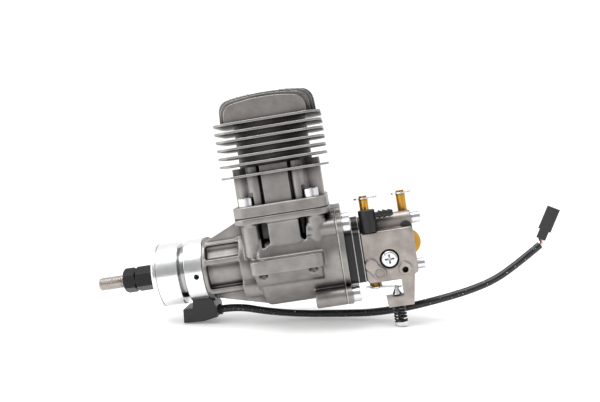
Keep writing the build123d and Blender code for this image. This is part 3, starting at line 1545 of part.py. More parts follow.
# connector: its axis stands up at the lead's end; three bare wires bridge the bend
lead_end = Vector(*lead_points[-1])
lead_dir = (Vector(*lead_points[-1]) - Vector(*lead_points[-2])).normalized()
plug_dir = Vector(cos(radians(60)) * 0.98, -0.05, sin(radians(60))).normalized()
plug_start = lead_end + Vector(0.9, -0.1, 3.4)
plug_plane = Plane(origin=plug_start, x_dir=(0.35, -0.90, -0.15), z_dir=plug_dir)
with BuildPart() as lead_connector:
    with BuildSketch(plug_plane):
        RectangleRounded(6.2, 2.2, 0.3)
    extrude(amount=5.6)
    with BuildSketch(plug_plane.offset(5.4)):
        RectangleRounded(7.8, 3.4, 0.4)
    extrude(amount=14.2)
    with BuildSketch(plug_plane.offset(19.6)):
        with GridLocations(2.54, 1, 3, 1):
            Rectangle(1.0, 1.0)
    extrude(amount=-6.0, mode=Mode.SUBTRACT)
finish(lead_connector, "lead_connector")

wire_r = 0.55
with BuildPart() as lead_wires:
    for offset_y in (-1.3, 0.0, 1.3):
        start = lead_end + Vector(0, offset_y, 0)
        bend = lead_end + lead_dir * 1.6 + Vector(0, offset_y, 0)
        into = plug_plane.from_local_coords(Vector(-offset_y * 1.2, 0, 0))
        with BuildLine() as wire_path:
            Polyline(tuple(start), tuple(bend), tuple(into))
        with BuildSketch(Plane(origin=tuple(start), z_dir=lead_dir)):
            Circle(wire_r)
        sweep(path=wire_path.line, transition=Transition.ROUND)
finish(lead_wires, "lead_wires")
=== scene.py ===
# %% [markdown]
# # A small two-stroke petrol engine on a white table
#
# The engine's pieces, joints and sizes come ready made as a fixed frame of metal parts.
# This lesson gives them their looks: castings with soft edges, cut threads, wound springs,
# a sleeved signal lead, and a finish for every metal and plastic.
# Lengths are in metres, X points from the propeller to the carburettor, and Z along the cylinder.

# %% Load the frame
import json
from math import cos, pi, radians, sin

import bmesh
import bpy
import numpy as np
from mathutils import Matrix, Vector

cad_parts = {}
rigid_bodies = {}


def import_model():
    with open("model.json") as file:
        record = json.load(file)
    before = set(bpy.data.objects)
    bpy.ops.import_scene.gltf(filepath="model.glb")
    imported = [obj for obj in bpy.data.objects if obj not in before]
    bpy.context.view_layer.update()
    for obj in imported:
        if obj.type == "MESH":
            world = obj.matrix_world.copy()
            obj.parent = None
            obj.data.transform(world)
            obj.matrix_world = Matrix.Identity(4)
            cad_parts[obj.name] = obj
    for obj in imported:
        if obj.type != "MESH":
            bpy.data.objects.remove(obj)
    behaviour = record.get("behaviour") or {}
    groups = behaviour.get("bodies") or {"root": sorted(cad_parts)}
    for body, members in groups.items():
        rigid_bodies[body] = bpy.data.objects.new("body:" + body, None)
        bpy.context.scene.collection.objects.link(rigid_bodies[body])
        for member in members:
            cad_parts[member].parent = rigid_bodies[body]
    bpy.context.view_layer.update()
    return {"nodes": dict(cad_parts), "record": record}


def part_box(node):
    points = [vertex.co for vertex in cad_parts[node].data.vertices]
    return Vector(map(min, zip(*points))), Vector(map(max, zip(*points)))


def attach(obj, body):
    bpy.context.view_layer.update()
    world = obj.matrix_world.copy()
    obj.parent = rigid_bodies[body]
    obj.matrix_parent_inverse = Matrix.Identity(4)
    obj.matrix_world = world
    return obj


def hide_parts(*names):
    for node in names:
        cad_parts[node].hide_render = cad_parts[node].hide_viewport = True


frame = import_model()

# %% [markdown]
# ## The camera
#
# The engine is seen from its left side, almost level with the crankshaft and a little turned,
# so that the propeller end hangs lower in the view. A 42 mm lens from 41 cm away gives the
# gentle perspective of a catalogue view. A longer lens would flatten the fins into bars.

# %% Camera
camera_data = bpy.data.cameras.new("camera")
camera_data.lens = 42
camera_data.sensor_width = 36
camera_data.clip_start = 0.01
camera = bpy.data.objects.new("camera", camera_data)
camera.location = (0.0375, -0.413, 0.0519)
camera.rotation_euler = (radians(87.15), radians(9.05), radians(3.30))
bpy.context.scene.collection.objects.link(camera)
bpy.context.scene.camera = camera
print("camera", round(camera.location.length, 3), "m from the crankshaft's centre")

# %% [markdown]
# ## The lead's route
#
# The ignition sensor's lead is three thin wires in a stiff plastic sleeve. It leaves the
# sensor's gland, sinks to the table under the crankcase and lifts towards its connector.
# A NURBS curve takes the route's points as control points, so its line bends as evenly as a
# stiff sleeve does. A curve through every point would show small kinks.

# %% Lead route
lead_points = [
    (-0.046, 0.0, -0.0253),
    (-0.036, 0.0, -0.0253),
    (-0.020, 0.0035, -0.0314),
    (0.0, 0.007, -0.0366),
    (0.022, 0.008, -0.0399),
    (0.042, 0.006, -0.0420),
    (0.062, 0.003, -0.0412),
    (0.082, 0.001, -0.0388),
    (0.100, 0.0, -0.0360),
    (0.116, 0.0, -0.0320),
    (0.131, 0.0005, -0.0242),
    (0.145, 0.001, -0.0155),
]


def smooth_line(name, points, steps):
    """The points of a NURBS line drawn with these control points."""
    data = bpy.data.curves.new(name, "CURVE")
    data.dimensions = "3D"
    data.resolution_u = steps
    spline = data.splines.new("NURBS")
    spline.points.add(len(points) - 1)
    for control, place in zip(spline.points, points):
        control.co = (*place, 1)
    spline.order_u = 3
    spline.use_endpoint_u = True
    carrier = bpy.data.objects.new(name, data)
    bpy.context.scene.collection.objects.link(carrier)
    line = [v.co.copy() for v in bpy.data.meshes.new_from_object(carrier).vertices]
    bpy.data.objects.remove(carrier)
    return line


def line_length(line):
    return sum((b - a).length for a, b in zip(line, line[1:]))


lead_line = smooth_line("lead_route", lead_points, 16)
lead_length = line_length(lead_line)
print("lead:", len(lead_line), "points,", round(lead_length * 1000, 1), "mm")

# %% [markdown]
# ## Tubes along a line
#
# Sleeve and wires are round sections carried along a line. Each ring of points keeps its
# heading from the ring before, turned only as much as the line turns, so the tube doesn't
# twist. A curve with a bevel would also work, but rings can be pinched, folded and ended
# with a wall.


# %% Tube maker
def put(name, mesh):
    """A new object at the origin that carries this mesh."""
    piece = bpy.data.objects.new(name, mesh)
    bpy.context.scene.collection.objects.link(piece)
    return piece


def headings(line):
    """For each point of a line: the way it runs, and two directions across it that don't twist."""
    ways = [(b - a).normalized() for a, b in zip(line, line[1:])]
    ways.append(ways[-1])
    across = ways[0].orthogonal().normalized()
    frames = []
    for way in ways:
        across = (across - way * across.dot(way)).normalized()
        frames.append((way, across, way.cross(across)))
    return frames


def tube(name, rings, sides):
    """A closed tube from rings of (centre, (way, across, up), radius of an angle)."""
    body = bmesh.new()
    loops = []
    for centre, (_, across, up), radius in rings:
        loop = []
        for side in range(sides):
            angle = 2 * pi * side / sides
            spoke = across * cos(angle) + up * sin(angle)
            loop.append(body.verts.new(centre + spoke * radius(angle)))
        loops.append(loop)
    for near, far in zip(loops, loops[1:]):
        for i in range(sides):
            j = (i + 1) % sides
            body.faces.new((near[i], near[j], far[j], far[i]))
    body.faces.new(reversed(loops[0]))
    body.faces.new(loops[-1])
    bmesh.ops.recalc_face_normals(body, faces=body.faces)
    mesh = bpy.data.meshes.new(name)
    body.to_mesh(mesh)
    body.free()
    mesh.shade_smooth()
    mesh.set_sharp_from_angle(angle=radians(40))
    return put(name, mesh)


# %% [markdown]
# ## The sleeve
#
# The sleeve is a thin plastic tube, a little flattened by the wires in it, with faint waves
# where it has been bent. Its far end is cut square and open. The rings go along the outside,
# turn over the cut edge and come back inside as a wall, as in a real cut tube.

# %% Sleeve
sleeve_r = 0.00235
sleeve_wall = 0.0005
wave_rng = np.random.default_rng(11)
wave_phase = wave_rng.uniform(0, 2 * pi, 3)
inner_share = 0.93  # the inner wall follows this share of the sleeve's radius, less the wall
inner_rings = 7  # how many rings the wall goes back inside


def sleeve_radius(along):
    """The sleeve's radius at a distance along it, as a function of the angle round it."""

    def radius(angle):
        oval = 0.045 * cos(2 * angle + 9 * along / lead_length)
        waves = 0.02 * sin(400 * along + wave_phase[0]) * cos(3 * angle + wave_phase[1])
        crease = 0.07 * max(0.0, cos(angle + wave_phase[2] + 3 * along / lead_length)) ** 14
        return sleeve_r * (0.95 + oval + waves - crease)

    return radius


def inner_radius(angle):
    """The sleeve's radius inside its cut end, the same at every angle."""
    return sleeve_r * inner_share - sleeve_wall


lead_frames = headings(lead_line)
sleeve_rings = []
along = 0.0
for i, point in enumerate(lead_line):
    along += (point - lead_line[i - 1]).length if i else 0.0
    sleeve_rings.append((point, lead_frames[i], sleeve_radius(along)))
last_places = list(zip(lead_line, lead_frames))[-inner_rings:]
inside = [(place, frame_here, inner_radius) for place, frame_here in reversed(last_places)]
sleeve = tube("lead_sleeve", sleeve_rings + inside, 24)
print("sleeve:", len(sleeve.data.polygons), "faces")

# %% [markdown]
# ## The wires and their connector
#
# Three wires, white, red and black, leave the sleeve side by side and turn up into the
# connector's neck. Each is a short NURBS line of five points: one inside the sleeve, one at
# its mouth, one where the wire bends, and two that lead into the neck.

# %% Wires
wire_r = 0.0005
wire_step = 0.0013
lead_end = lead_line[-1]
lead_way = lead_frames[-1][0]
plug_way = Vector((0.49, -0.05, 0.866)).normalized()
plug_start = lead_end + Vector((0.0009, -0.0001, 0.0034))
plug_across = Vector((0.35, -0.90, -0.15)).normalized()
wires = []
for wire_name, shift in (("wire_white", -wire_step), ("wire_red", 0.0), ("wire_black", wire_step)):
    sideways = Vector((0, shift, 0))
    route = [
        lead_end - lead_way * 0.004 + sideways * 0.6,
        lead_end + sideways * 0.8,
        lead_end + lead_way * 0.0016 + sideways,
        plug_start - plug_across * shift * 1.2,
        plug_start + plug_way * 0.0004 - plug_across * shift * 1.2,
    ]
    line = smooth_line(wire_name, route, 8)
    frames = headings(line)
    wires.append(tube(wire_name, [(p, f, lambda angle: wire_r) for p, f in zip(line, frames)], 12))
print("wires:", [piece.name for piece in wires])

# %% [markdown]
# ## Building shader nodes
#
# A finish is a small graph of nodes. One helper makes a node, sets its settings and joins its
# inputs, so that each finish below reads as a list of what it is made of. Patterns read Object
# coordinates, which are the engine's own places in metres, so a grain has a real size.


# %% Node helpers
def add_node(tree, kind, inputs=None, **settings):
    """A node with its settings made. An input that is given an output socket is linked to it."""
    made = tree.nodes.new(kind)
    for name, value in settings.items():
        setattr(made, name, value)
    for key, value in (inputs or {}).items():
        if isinstance(value, bpy.types.NodeSocket):
            tree.links.new(value, made.inputs[key])
        else:
            made.inputs[key].default_value = value
    return made


def new_finish(name, color, metallic, roughness):
    """A material with these values on its one shader; returns it, its tree and the shader."""
    finish = bpy.data.materials.new(name)
    finish.use_nodes = True
    shader = finish.node_tree.nodes["Principled BSDF"]
    shader.inputs["Base Color"].default_value = (*color, 1)
    shader.inputs["Metallic"].default_value = metallic
    shader.inputs["Roughness"].default_value = roughness
    return finish, finish.node_tree, shader


def places(tree):
    return add_node(tree, "ShaderNodeTexCoord").outputs["Object"]


def noise(tree, scale, detail, where=None):
    """Cloudy noise; scale is in clouds per metre."""
    vector = where or places(tree)
    return add_node(tree, "ShaderNodeTexNoise", {"Vector": vector, "Scale": scale, "Detail": detail})


def spread(tree, value, low, high, new_low, new_high):
    """The value's range low..high stretched to new_low..new_high."""
    stretched = add_node(
        tree,
        "ShaderNodeMapRange",
        {"Value": value, "From Min": low, "From Max": high, "To Min": new_low, "To Max": new_high},
    )
    return stretched.outputs["Result"]


def blend_colors(tree, factor, first, second):
    """The first colour at factor 0, the second at 1; a Mix node's colour sockets are 6, 7 and 2."""
    mixed = add_node(tree, "ShaderNodeMix", {"Factor": factor, 6: first, 7: second}, data_type="RGBA")
    return mixed.outputs[2]


def bumpy(tree, shader, height, distance, strength, normal):
    """Roughen the shader's surface by a height pattern of this depth in metres."""
    inputs = {"Height": height, "Distance": distance, "Strength": strength, "Normal": normal}
    bump = add_node(tree, "ShaderNodeBump", inputs)
    tree.links.new(bump.outputs["Normal"], shader.inputs["Normal"])


# %% [markdown]
# ## Cast metal
#
# Crankcase, cylinder and carburettor are die castings, tumbled or blasted with beads. The
# skin is matt with a fine grain and slightly cloudy. Its edges are paler, partly where they
# have been rubbed and partly as a painted highlight where edges catch the light.
# A Bevel node gives the normal of a rounded edge. Where it differs from the surface's own
# normal there is an edge, and that difference lightens the colour. The same rounded normal
# goes to the bump, which softens each machined edge. Deep between the fins and in the pockets
# the colour is painted darker, as painted shade where little light gets in. An Ambient
# Occlusion node measures how shut in each place is, from the shape itself.


# %% Cast finishes
# The edge share found here lightens colours: partly wear, partly a painted highlight where edges catch the
# light.
def edge_wear_and_highlight(tree, radius):
    """Rounded normal at edges, and how much of an edge each place is, from 0 to 1."""
    rounded = add_node(tree, "ShaderNodeBevel", {"Radius": radius}, samples=6).outputs["Normal"]
    flat = add_node(tree, "ShaderNodeNewGeometry").outputs["Normal"]
    agree = add_node(tree, "ShaderNodeVectorMath", {0: rounded, 1: flat}, operation="DOT_PRODUCT")
    return rounded, spread(tree, agree.outputs["Value"], 0.985, 0.80, 0.0, 1.0)


# Painted shade: hollows are darkened towards this black.
painted_shade_black = (0.004, 0.004, 0.004)


def paint_hollow_shade(tree, color, reach, darkest):
    """The colour with painted shade: darkened where other faces close in within this reach."""
    openness = add_node(tree, "ShaderNodeAmbientOcclusion", {"Distance": reach}, samples=8).outputs["AO"]
    share = spread(tree, openness, 0.35, 0.92, darkest, 1.0)
    return blend_colors(tree, share, (*painted_shade_black, 1), color)


def cast_finish(name, dark, light, wear_and_highlight, roughness, grain_scale, edge_radius, edge_share):
    """Cloudy between dark and light; this share of the worn colour shows on its edges, as wear and painted
    highlight.
    """
    finish, tree, shader = new_finish(name, light, 0.9, roughness)
    clouds = noise(tree, 140, 4).outputs["Fac"]
    grain = noise(tree, grain_scale, 2).outputs["Fac"]
    rounded, edge = edge_wear_and_highlight(tree, edge_radius)
    cloudy = blend_colors(tree, spread(tree, clouds, 0.3, 0.7, 0.0, 1.0), (*dark, 1), (*light, 1))
    # Edges painted paler: partly wear, partly a painted highlight.
    rubbed_and_lit = add_node(tree, "ShaderNodeMath", {0: edge, 1: edge_share}, operation="MULTIPLY")
    color = blend_colors(tree, rubbed_and_lit.outputs[0], cloudy, (*wear_and_highlight, 1))
    # Painted shade: the colour darkens deep between the fins and in the pockets.
    tree.links.new(paint_hollow_shade(tree, color, 0.007, 0.05), shader.inputs["Base Color"])
    rough = spread(tree, grain, 0.3, 0.7, roughness - 0.05, roughness + 0.07)
    tree.links.new(rough, shader.inputs["Roughness"])
    bumpy(tree, shader, grain, 0.00006, 0.35, rounded)
    return finish


# The worn colours paint edges paler, partly as wear and partly as a painted highlight.
finishes = {
    "cast_alloy": cast_finish(
        "blasted_casting",
        dark=(0.25, 0.237, 0.226),
        light=(0.34, 0.325, 0.31),
        wear_and_highlight=(0.80, 0.79, 0.77),
        roughness=0.36,
        grain_scale=2600,
        edge_radius=0.0005,
        edge_share=0.8,
    ),
    "carb_casting": cast_finish(
        "tumbled_die_casting",
        dark=(0.31, 0.275, 0.255),
        light=(0.48, 0.437, 0.41),
        wear_and_highlight=(0.76, 0.72, 0.69),
        roughness=0.38,
        grain_scale=1800,
        edge_radius=0.0004,
        edge_share=0.75,
    ),
}

# %% [markdown]
# ## Turned metal
#
# The propeller hub and the sensor ring are turned on a lathe and left bright. The tool leaves
# fine rings round the axis. Noise read at (distance along the axis, distance from it) is the
# same all round, so it draws such rings on the rim and on the end faces alike.


# %% Turned finishes
def turned_finish(name, color, roughness, axis, centre, rings_per_metre, depth):
    """Lathe rings of this depth round an axis (0 is X, 2 is Z) through this centre."""
    finish, tree, shader = new_finish(name, color, 1.0, roughness)
    shift = add_node(tree, "ShaderNodeVectorMath", {0: places(tree), 1: centre}, operation="SUBTRACT")
    split = add_node(tree, "ShaderNodeSeparateXYZ", {"Vector": shift.outputs[0]})
    across = [split.outputs[i] for i in range(3) if i != axis]
    radial = add_node(tree, "ShaderNodeCombineXYZ", {"X": across[0], "Y": across[1]})
    radius = add_node(tree, "ShaderNodeVectorMath", {0: radial.outputs[0]}, operation="LENGTH")
    along = split.outputs[axis]
    ring_place = add_node(tree, "ShaderNodeCombineXYZ", {"X": along, "Y": radius.outputs["Value"]})
    lines = noise(tree, rings_per_metre, 2, ring_place.outputs[0]).outputs["Fac"]
    # Painted shade: the colour darkens where other faces close in.
    tree.links.new(paint_hollow_shade(tree, (*color, 1), 0.004, 0.06), shader.inputs["Base Color"])
    haze = noise(tree, 220, 3).outputs["Fac"]
    rough = spread(tree, haze, 0.3, 0.7, roughness * 0.8, roughness * 1.3)
    tree.links.new(rough, shader.inputs["Roughness"])
    rounded, _ = edge_wear_and_highlight(tree, 0.0003)
    bumpy(tree, shader, lines, depth, 0.5, rounded)
    return finish


crank_axis = (0.0, 0.0, 0.0)
throttle_low, throttle_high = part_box("throttle_shaft")
choke_low, choke_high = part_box("choke_shaft")
throttle_centre = ((throttle_low.x + throttle_high.x) / 2, 0.0, 0.0)
choke_centre = ((choke_low.x + choke_high.x) / 2, 0.0, 0.0)
finishes["turned_alloy"] = turned_finish(
    "bright_turned_alloy", (0.90, 0.905, 0.915), 0.20, 0, crank_axis, 5200, 0.000012
)
finishes["steel"] = turned_finish("ground_steel", (0.56, 0.55, 0.53), 0.24, 0, crank_axis, 4000, 0.00001)
finishes["brass"] = turned_finish(
    "turned_brass", (0.74, 0.39, 0.07), 0.22, 2, throttle_centre, 5000, 0.000015
)
choke_brass = turned_finish(
    "turned_brass_choke", (0.62, 0.33, 0.06), 0.32, 2, choke_centre, 5000, 0.000015
)

# %% [markdown]
# ## Plated screws, black steel, plastics and gaskets
#
# The rest are plainer: a little grain, a little change in gloss, and a paler edge, partly where
# the skin is thin and partly a painted highlight. Zinc-plated screws are bright with faint clouds
# and painted shade in their slots. The nuts are blackened steel with worn corners, painted paler
# partly as a highlight. Plastics get a fine moulded texture, and gaskets a fibrous one.


# %% Plain finishes
def plain_finish(name, color, metallic, roughness, grain_scale, depth, wear_and_highlight=None, slot_shade_reach=0):
    """A finish with grain of this depth; the worn colour paints its edges paler, as wear and painted
    highlight, and the slot reach paints shade into its slots.
    """
    finish, tree, shader = new_finish(name, color, metallic, roughness)
    grain = noise(tree, grain_scale, 3).outputs["Fac"]
    clouds = noise(tree, 300, 3).outputs["Fac"]
    rounded, edge = edge_wear_and_highlight(tree, 0.0003)
    shade = tuple(0.8 * c for c in color)
    tone = blend_colors(tree, spread(tree, clouds, 0.3, 0.7, 0.0, 1.0), (*color, 1), (*shade, 1))
    # Painted shade in the slots.
    if slot_shade_reach:
        tone = paint_hollow_shade(tree, tone, slot_shade_reach, 0.08)
    # Edges painted paler: partly wear, partly a painted highlight.
    if wear_and_highlight:
        share = add_node(tree, "ShaderNodeMath", {0: edge, 1: 0.6}, operation="MULTIPLY")
        tone = blend_colors(tree, share.outputs[0], tone, (*wear_and_highlight, 1))
    tree.links.new(tone, shader.inputs["Base Color"])
    rough = spread(tree, grain, 0.3, 0.7, roughness * 0.85, roughness * 1.2)
    tree.links.new(rough, shader.inputs["Roughness"])
    bumpy(tree, shader, grain, depth, 0.4, rounded)
    return finish


# The worn colours paint edges paler, partly as wear and partly as a painted highlight; the screws' slot
# reach paints shade into their slots.
finishes["bright_screw"] = plain_finish(
    "zinc_plate", (0.82, 0.83, 0.85), 1.0, 0.16, 900, 0.00001, wear_and_highlight=(0.95, 0.95, 0.95), slot_shade_reach=0.0014
)
finishes["black_steel"] = plain_finish(
    "black_oxide", (0.010, 0.010, 0.011), 0.5, 0.27, 1500, 0.00003, wear_and_highlight=(0.16, 0.16, 0.16)
)
finishes["black_plastic"] = plain_finish(
    "moulded_black", (0.008, 0.008, 0.009), 0.0, 0.34, 2400, 0.00003, wear_and_highlight=(0.04, 0.04, 0.04)
)
finishes["gasket"] = plain_finish("pressed_gasket", (0.03, 0.03, 0.032), 0.0, 0.7, 3000, 0.00004)
finishes["gasket_paper"] = plain_finish("metal_faced_gasket", (0.62, 0.61, 0.58), 0.6, 0.4, 3000, 0.00003)
finishes["rubber_seal"] = plain_finish("seal_rubber", (0.10, 0.035, 0.02), 0.0, 0.5, 1500, 0.00003)
finishes["magnet"] = plain_finish("nickel_plate", (0.66, 0.63, 0.58), 1.0, 0.2, 900, 0.00001)
finishes["reed"] = plain_finish("carbon_reed", (0.05, 0.05, 0.055), 0.0, 0.35, 2600, 0.00003)
finishes["sleeve"] = plain_finish("glossy_sleeve", (0.014, 0.014, 0.016), 0.0, 0.24, 700, 0.00010)
finishes["wire"] = plain_finish("wire_black_skin", (0.02, 0.02, 0.022), 0.0, 0.35, 1500, 0.00001)
wire_white_skin = plain_finish("wire_white_skin", (0.80, 0.77, 0.77), 0.0, 0.35, 1500, 0.00001)
wire_red_skin = plain_finish("wire_red_skin", (0.45, 0.03, 0.03), 0.0, 0.35, 1500, 0.00001)
# Its worn colour paints the thread's crests paler, partly as wear and partly as a painted highlight.
thread_steel = plain_finish(
    "thread_steel", (0.46, 0.42, 0.385), 1.0, 0.26, 1600, 0.00002, wear_and_highlight=(0.85, 0.83, 0.80)
)
print("finishes:", len(bpy.data.materials))

# %% [markdown]
# ## Dress the ready-made parts
#
# The record of the frame says which slot each part takes its finish from, so one loop
# dresses them all. The choke's brass parts turn about their own axis, so their lathe rings
# are centred there. The rear cover's gasket is faced with metal and looks as pale as the casting.

# %% Dress the parts
for part in frame["record"]["subparts"]:
    shown = frame["nodes"][part["node"]].data
    shown.materials.clear()
    shown.materials.append(finishes[part["material_slot"]])
for name in ("choke_shaft", "choke_plate"):
    frame["nodes"][name].data.materials[0] = choke_brass
frame["nodes"]["rear_cover_gasket"].data.materials[0] = finishes["gasket_paper"]
print("dressed", len(frame["nodes"]), "parts")

# %% [markdown]
# ## Growing a piece with Geometry Nodes
#
# Threads and springs follow a rule, so a node tree makes them from a few named sizes. The
# helper runs a tree once, keeps the result as a plain mesh and moves it to its place on the
# engine. The modifier goes, so nothing is worked out again later.


# %% Growing helpers
def new_tree(name, inputs):
    """An empty Geometry Nodes tree with named inputs; returns it and its group input node."""
    tree = bpy.data.node_groups.new(name, "GeometryNodeTree")
    tree.interface.new_socket("Geometry", in_out="INPUT", socket_type="NodeSocketGeometry")
    for label, kind in inputs:
        tree.interface.new_socket(label, in_out="INPUT", socket_type=kind)
    tree.interface.new_socket("Geometry", in_out="OUTPUT", socket_type="NodeSocketGeometry")
    return tree, tree.nodes.new("NodeGroupInput")


def end_tree(tree, given, geometry):
    """Close a tree the way each one ends: real faces, smooth shading, then its material."""
    real = add_node(tree, "GeometryNodeRealizeInstances", {"Geometry": geometry})
    soft = add_node(tree, "GeometryNodeSetShadeSmooth", {"Geometry": real.outputs[0]})
    inputs = {"Geometry": soft.outputs[0], "Material": given.outputs["Material"]}
    dressed = add_node(tree, "GeometryNodeSetMaterial", inputs)
    add_node(tree, "NodeGroupOutput", {0: dressed.outputs[0]})


def grow(name, tree, values, place=Matrix(), start=None):
    """Run a tree once with these values and keep the result as a plain mesh at its place."""
    piece = put(name, start or bpy.data.meshes.new(name))
    modifier = piece.modifiers.new("grow", "NODES")
    modifier.node_group = tree
    ids = {item.name: item.identifier for item in tree.interface.items_tree if item.in_out == "INPUT"}
    for label, value in values.items():
        modifier[ids[label]] = value
    graph = bpy.context.evaluated_depsgraph_get()
    mesh = bpy.data.meshes.new_from_object(piece.evaluated_get(graph))
    piece.modifiers.remove(modifier)
    mesh.transform(place)
    mesh.set_sharp_from_angle(angle=radians(50))
    mesh.name = name
    piece.data = mesh
    print(name, len(mesh.polygons), "faces")
    return piece


# %% [markdown]
# ## Cut threads
#
# A thread is one ridge that climbs its pitch each turn. The tree takes a plain bar with many
# sides and rings, and moves each point in or out by where it stands: the distance along the
# bar in pitches, less its share of a turn, gives a zigzag from root to crest. Near the bar's
# ends the crest is held down to a cone, which is the chamfer.

# %% Thread tree
thread_tree, given = new_tree(
    "screw_thread",
    [
        ("Crest Radius", "NodeSocketFloat"),
        ("Depth", "NodeSocketFloat"),
        ("Length", "NodeSocketFloat"),
        ("Pitch", "NodeSocketFloat"),
        ("Rings", "NodeSocketInt"),
        ("Tip Radius", "NodeSocketFloat"),
        ("Material", "NodeSocketMaterial"),
    ],
)


def maths(tree, operation, first, second=0.0):
    return add_node(tree, "ShaderNodeMath", {0: first, 1: second}, operation=operation).outputs[0]


bar = add_node(
    thread_tree,
    "GeometryNodeMeshCylinder",
    {
        "Vertices": 48,
        "Side Segments": given.outputs["Rings"],
        "Radius": given.outputs["Crest Radius"],
        "Depth": given.outputs["Length"],
    },
)
where = add_node(thread_tree, "GeometryNodeInputPosition").outputs[0]
xyz = add_node(thread_tree, "ShaderNodeSeparateXYZ", {0: where}).outputs
turn_angle = maths(thread_tree, "ARCTAN2", xyz[1], xyz[0])
pitches = maths(thread_tree, "DIVIDE", xyz[2], given.outputs["Pitch"])
phase = maths(thread_tree, "SUBTRACT", pitches, maths(thread_tree, "DIVIDE", turn_angle, 2 * pi))
zigzag = maths(thread_tree, "PINGPONG", phase, 0.5)
dip = maths(thread_tree, "MULTIPLY", maths(thread_tree, "MULTIPLY", zigzag, 2.0), given.outputs["Depth"])
ridge_r = maths(thread_tree, "SUBTRACT", given.outputs["Crest Radius"], dip)
half = maths(thread_tree, "MULTIPLY", given.outputs["Length"], 0.5)
to_end = maths(thread_tree, "SUBTRACT", half, maths(thread_tree, "ABSOLUTE", xyz[2]))
cone_r = maths(thread_tree, "ADD", given.outputs["Tip Radius"], to_end)
thread_r = maths(thread_tree, "MINIMUM", ridge_r, cone_r)
ratio = maths(thread_tree, "DIVIDE", thread_r, given.outputs["Crest Radius"])
moved = add_node(
    thread_tree,
    "ShaderNodeCombineXYZ",
    {
        0: maths(thread_tree, "MULTIPLY", xyz[0], ratio),
        1: maths(thread_tree, "MULTIPLY", xyz[1], ratio),
        2: xyz[2],
    },
)
cut = add_node(
    thread_tree, "GeometryNodeSetPosition", {"Geometry": bar.outputs["Mesh"], "Position": moved.outputs[0]}
)
end_tree(thread_tree, given, cut.outputs[0])

# %% [markdown]
# The propeller stud is M8, with a pitch of 1.25 mm. The groove is 0.52 mm deep here, shallower
# than the standard's, so that the stud still looks 8 mm thick from afar. It is grown standing
# up, then laid along the crankshaft.

# %% Propeller stud
stud_low, stud_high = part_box("prop_stud")
stud_len = stud_high.x - stud_low.x
stud_pitch = 0.00125
rings_per_pitch = 6
along_crank = Matrix.Rotation(pi / 2, 4, "Y")
prop_thread = grow(
    "threaded_prop_stud",
    thread_tree,
    {
        "Crest Radius": stud_high.z,
        "Depth": 0.00052,
        "Length": stud_len,
        "Pitch": stud_pitch,
        "Rings": int(stud_len / stud_pitch * rings_per_pitch),
        "Tip Radius": 0.0031,
        "Material": thread_steel,
    },
    Matrix.Translation((stud_low.x + stud_len / 2, 0, 0)) @ along_crank,
)
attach(prop_thread, "crank")
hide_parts("prop_stud")

# %% [markdown]
# ## Wound springs
#
# Each spring is a wire along a helix. The tree draws the helix as a curve and sweeps a round
# section along it, with its ends closed. The idle screw's spring is open and made of thick
# black wire; the throttle's return spring is thin, has three turns round the shaft and shows
# the same yellow as the shaft.

# %% Spring tree
spring_tree, given = new_tree(
    "wound_spring",
    [
        ("Coil Radius", "NodeSocketFloat"),
        ("Wire Radius", "NodeSocketFloat"),
        ("Height", "NodeSocketFloat"),
        ("Turns", "NodeSocketFloat"),
        ("Material", "NodeSocketMaterial"),
    ],
)
helix = add_node(
    spring_tree,
    "GeometryNodeCurveSpiral",
    {
        "Resolution": 40,
        "Rotations": given.outputs["Turns"],
        "Start Radius": given.outputs["Coil Radius"],
        "End Radius": given.outputs["Coil Radius"],
        "Height": given.outputs["Height"],
    },
)
wire_section = add_node(
    spring_tree,
    "GeometryNodeCurvePrimitiveCircle",
    {"Resolution": 12, "Radius": given.outputs["Wire Radius"]},
)
wound = add_node(
    spring_tree,
    "GeometryNodeCurveToMesh",
    {"Curve": helix.outputs[0], "Profile Curve": wire_section.outputs[0], "Fill Caps": True},
)
end_tree(spring_tree, given, wound.outputs[0])


def spring(name, node, body, wire_radius, turns, material):
    """A wound spring that fills the box of the spring in the frame, and stands for it."""
    low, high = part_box(node)
    height = high.z - low.z - 2 * wire_radius
    place = Matrix.Translation(((low.x + high.x) / 2, (low.y + high.y) / 2, low.z + wire_radius))
    values = {
        "Coil Radius": (high.x - low.x) / 2 - wire_radius,
        "Wire Radius": wire_radius,
        "Height": height,
        "Turns": turns,
        "Material": material,
    }
    piece = grow(name, spring_tree, values, place)
    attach(piece, body)
    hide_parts(node)


spring("idle_screw_spring", "idle_spring", "engine", 0.00055, 4.5, finishes["black_steel"])
spring("throttle_return_spring", "throttle_spring", "throttle", 0.00035, 3.0, finishes["brass"])

# %% [markdown]
# ## Castings with soft edges
#
# A casting has no sharp edge anywhere: metal flows into a mould with rounded corners, and
# blasting rounds them more. Beveling every edge of a shape as busy as a crankcase fails where
# many edges meet. A voxel remesh turns the shape into an even skin, and a few rounds of
# smoothing then round every edge at once, ribs and pockets included. The crankcase, the pump
# cover and the carburettor's body are treated so; the cylinder keeps its ready-made shape.


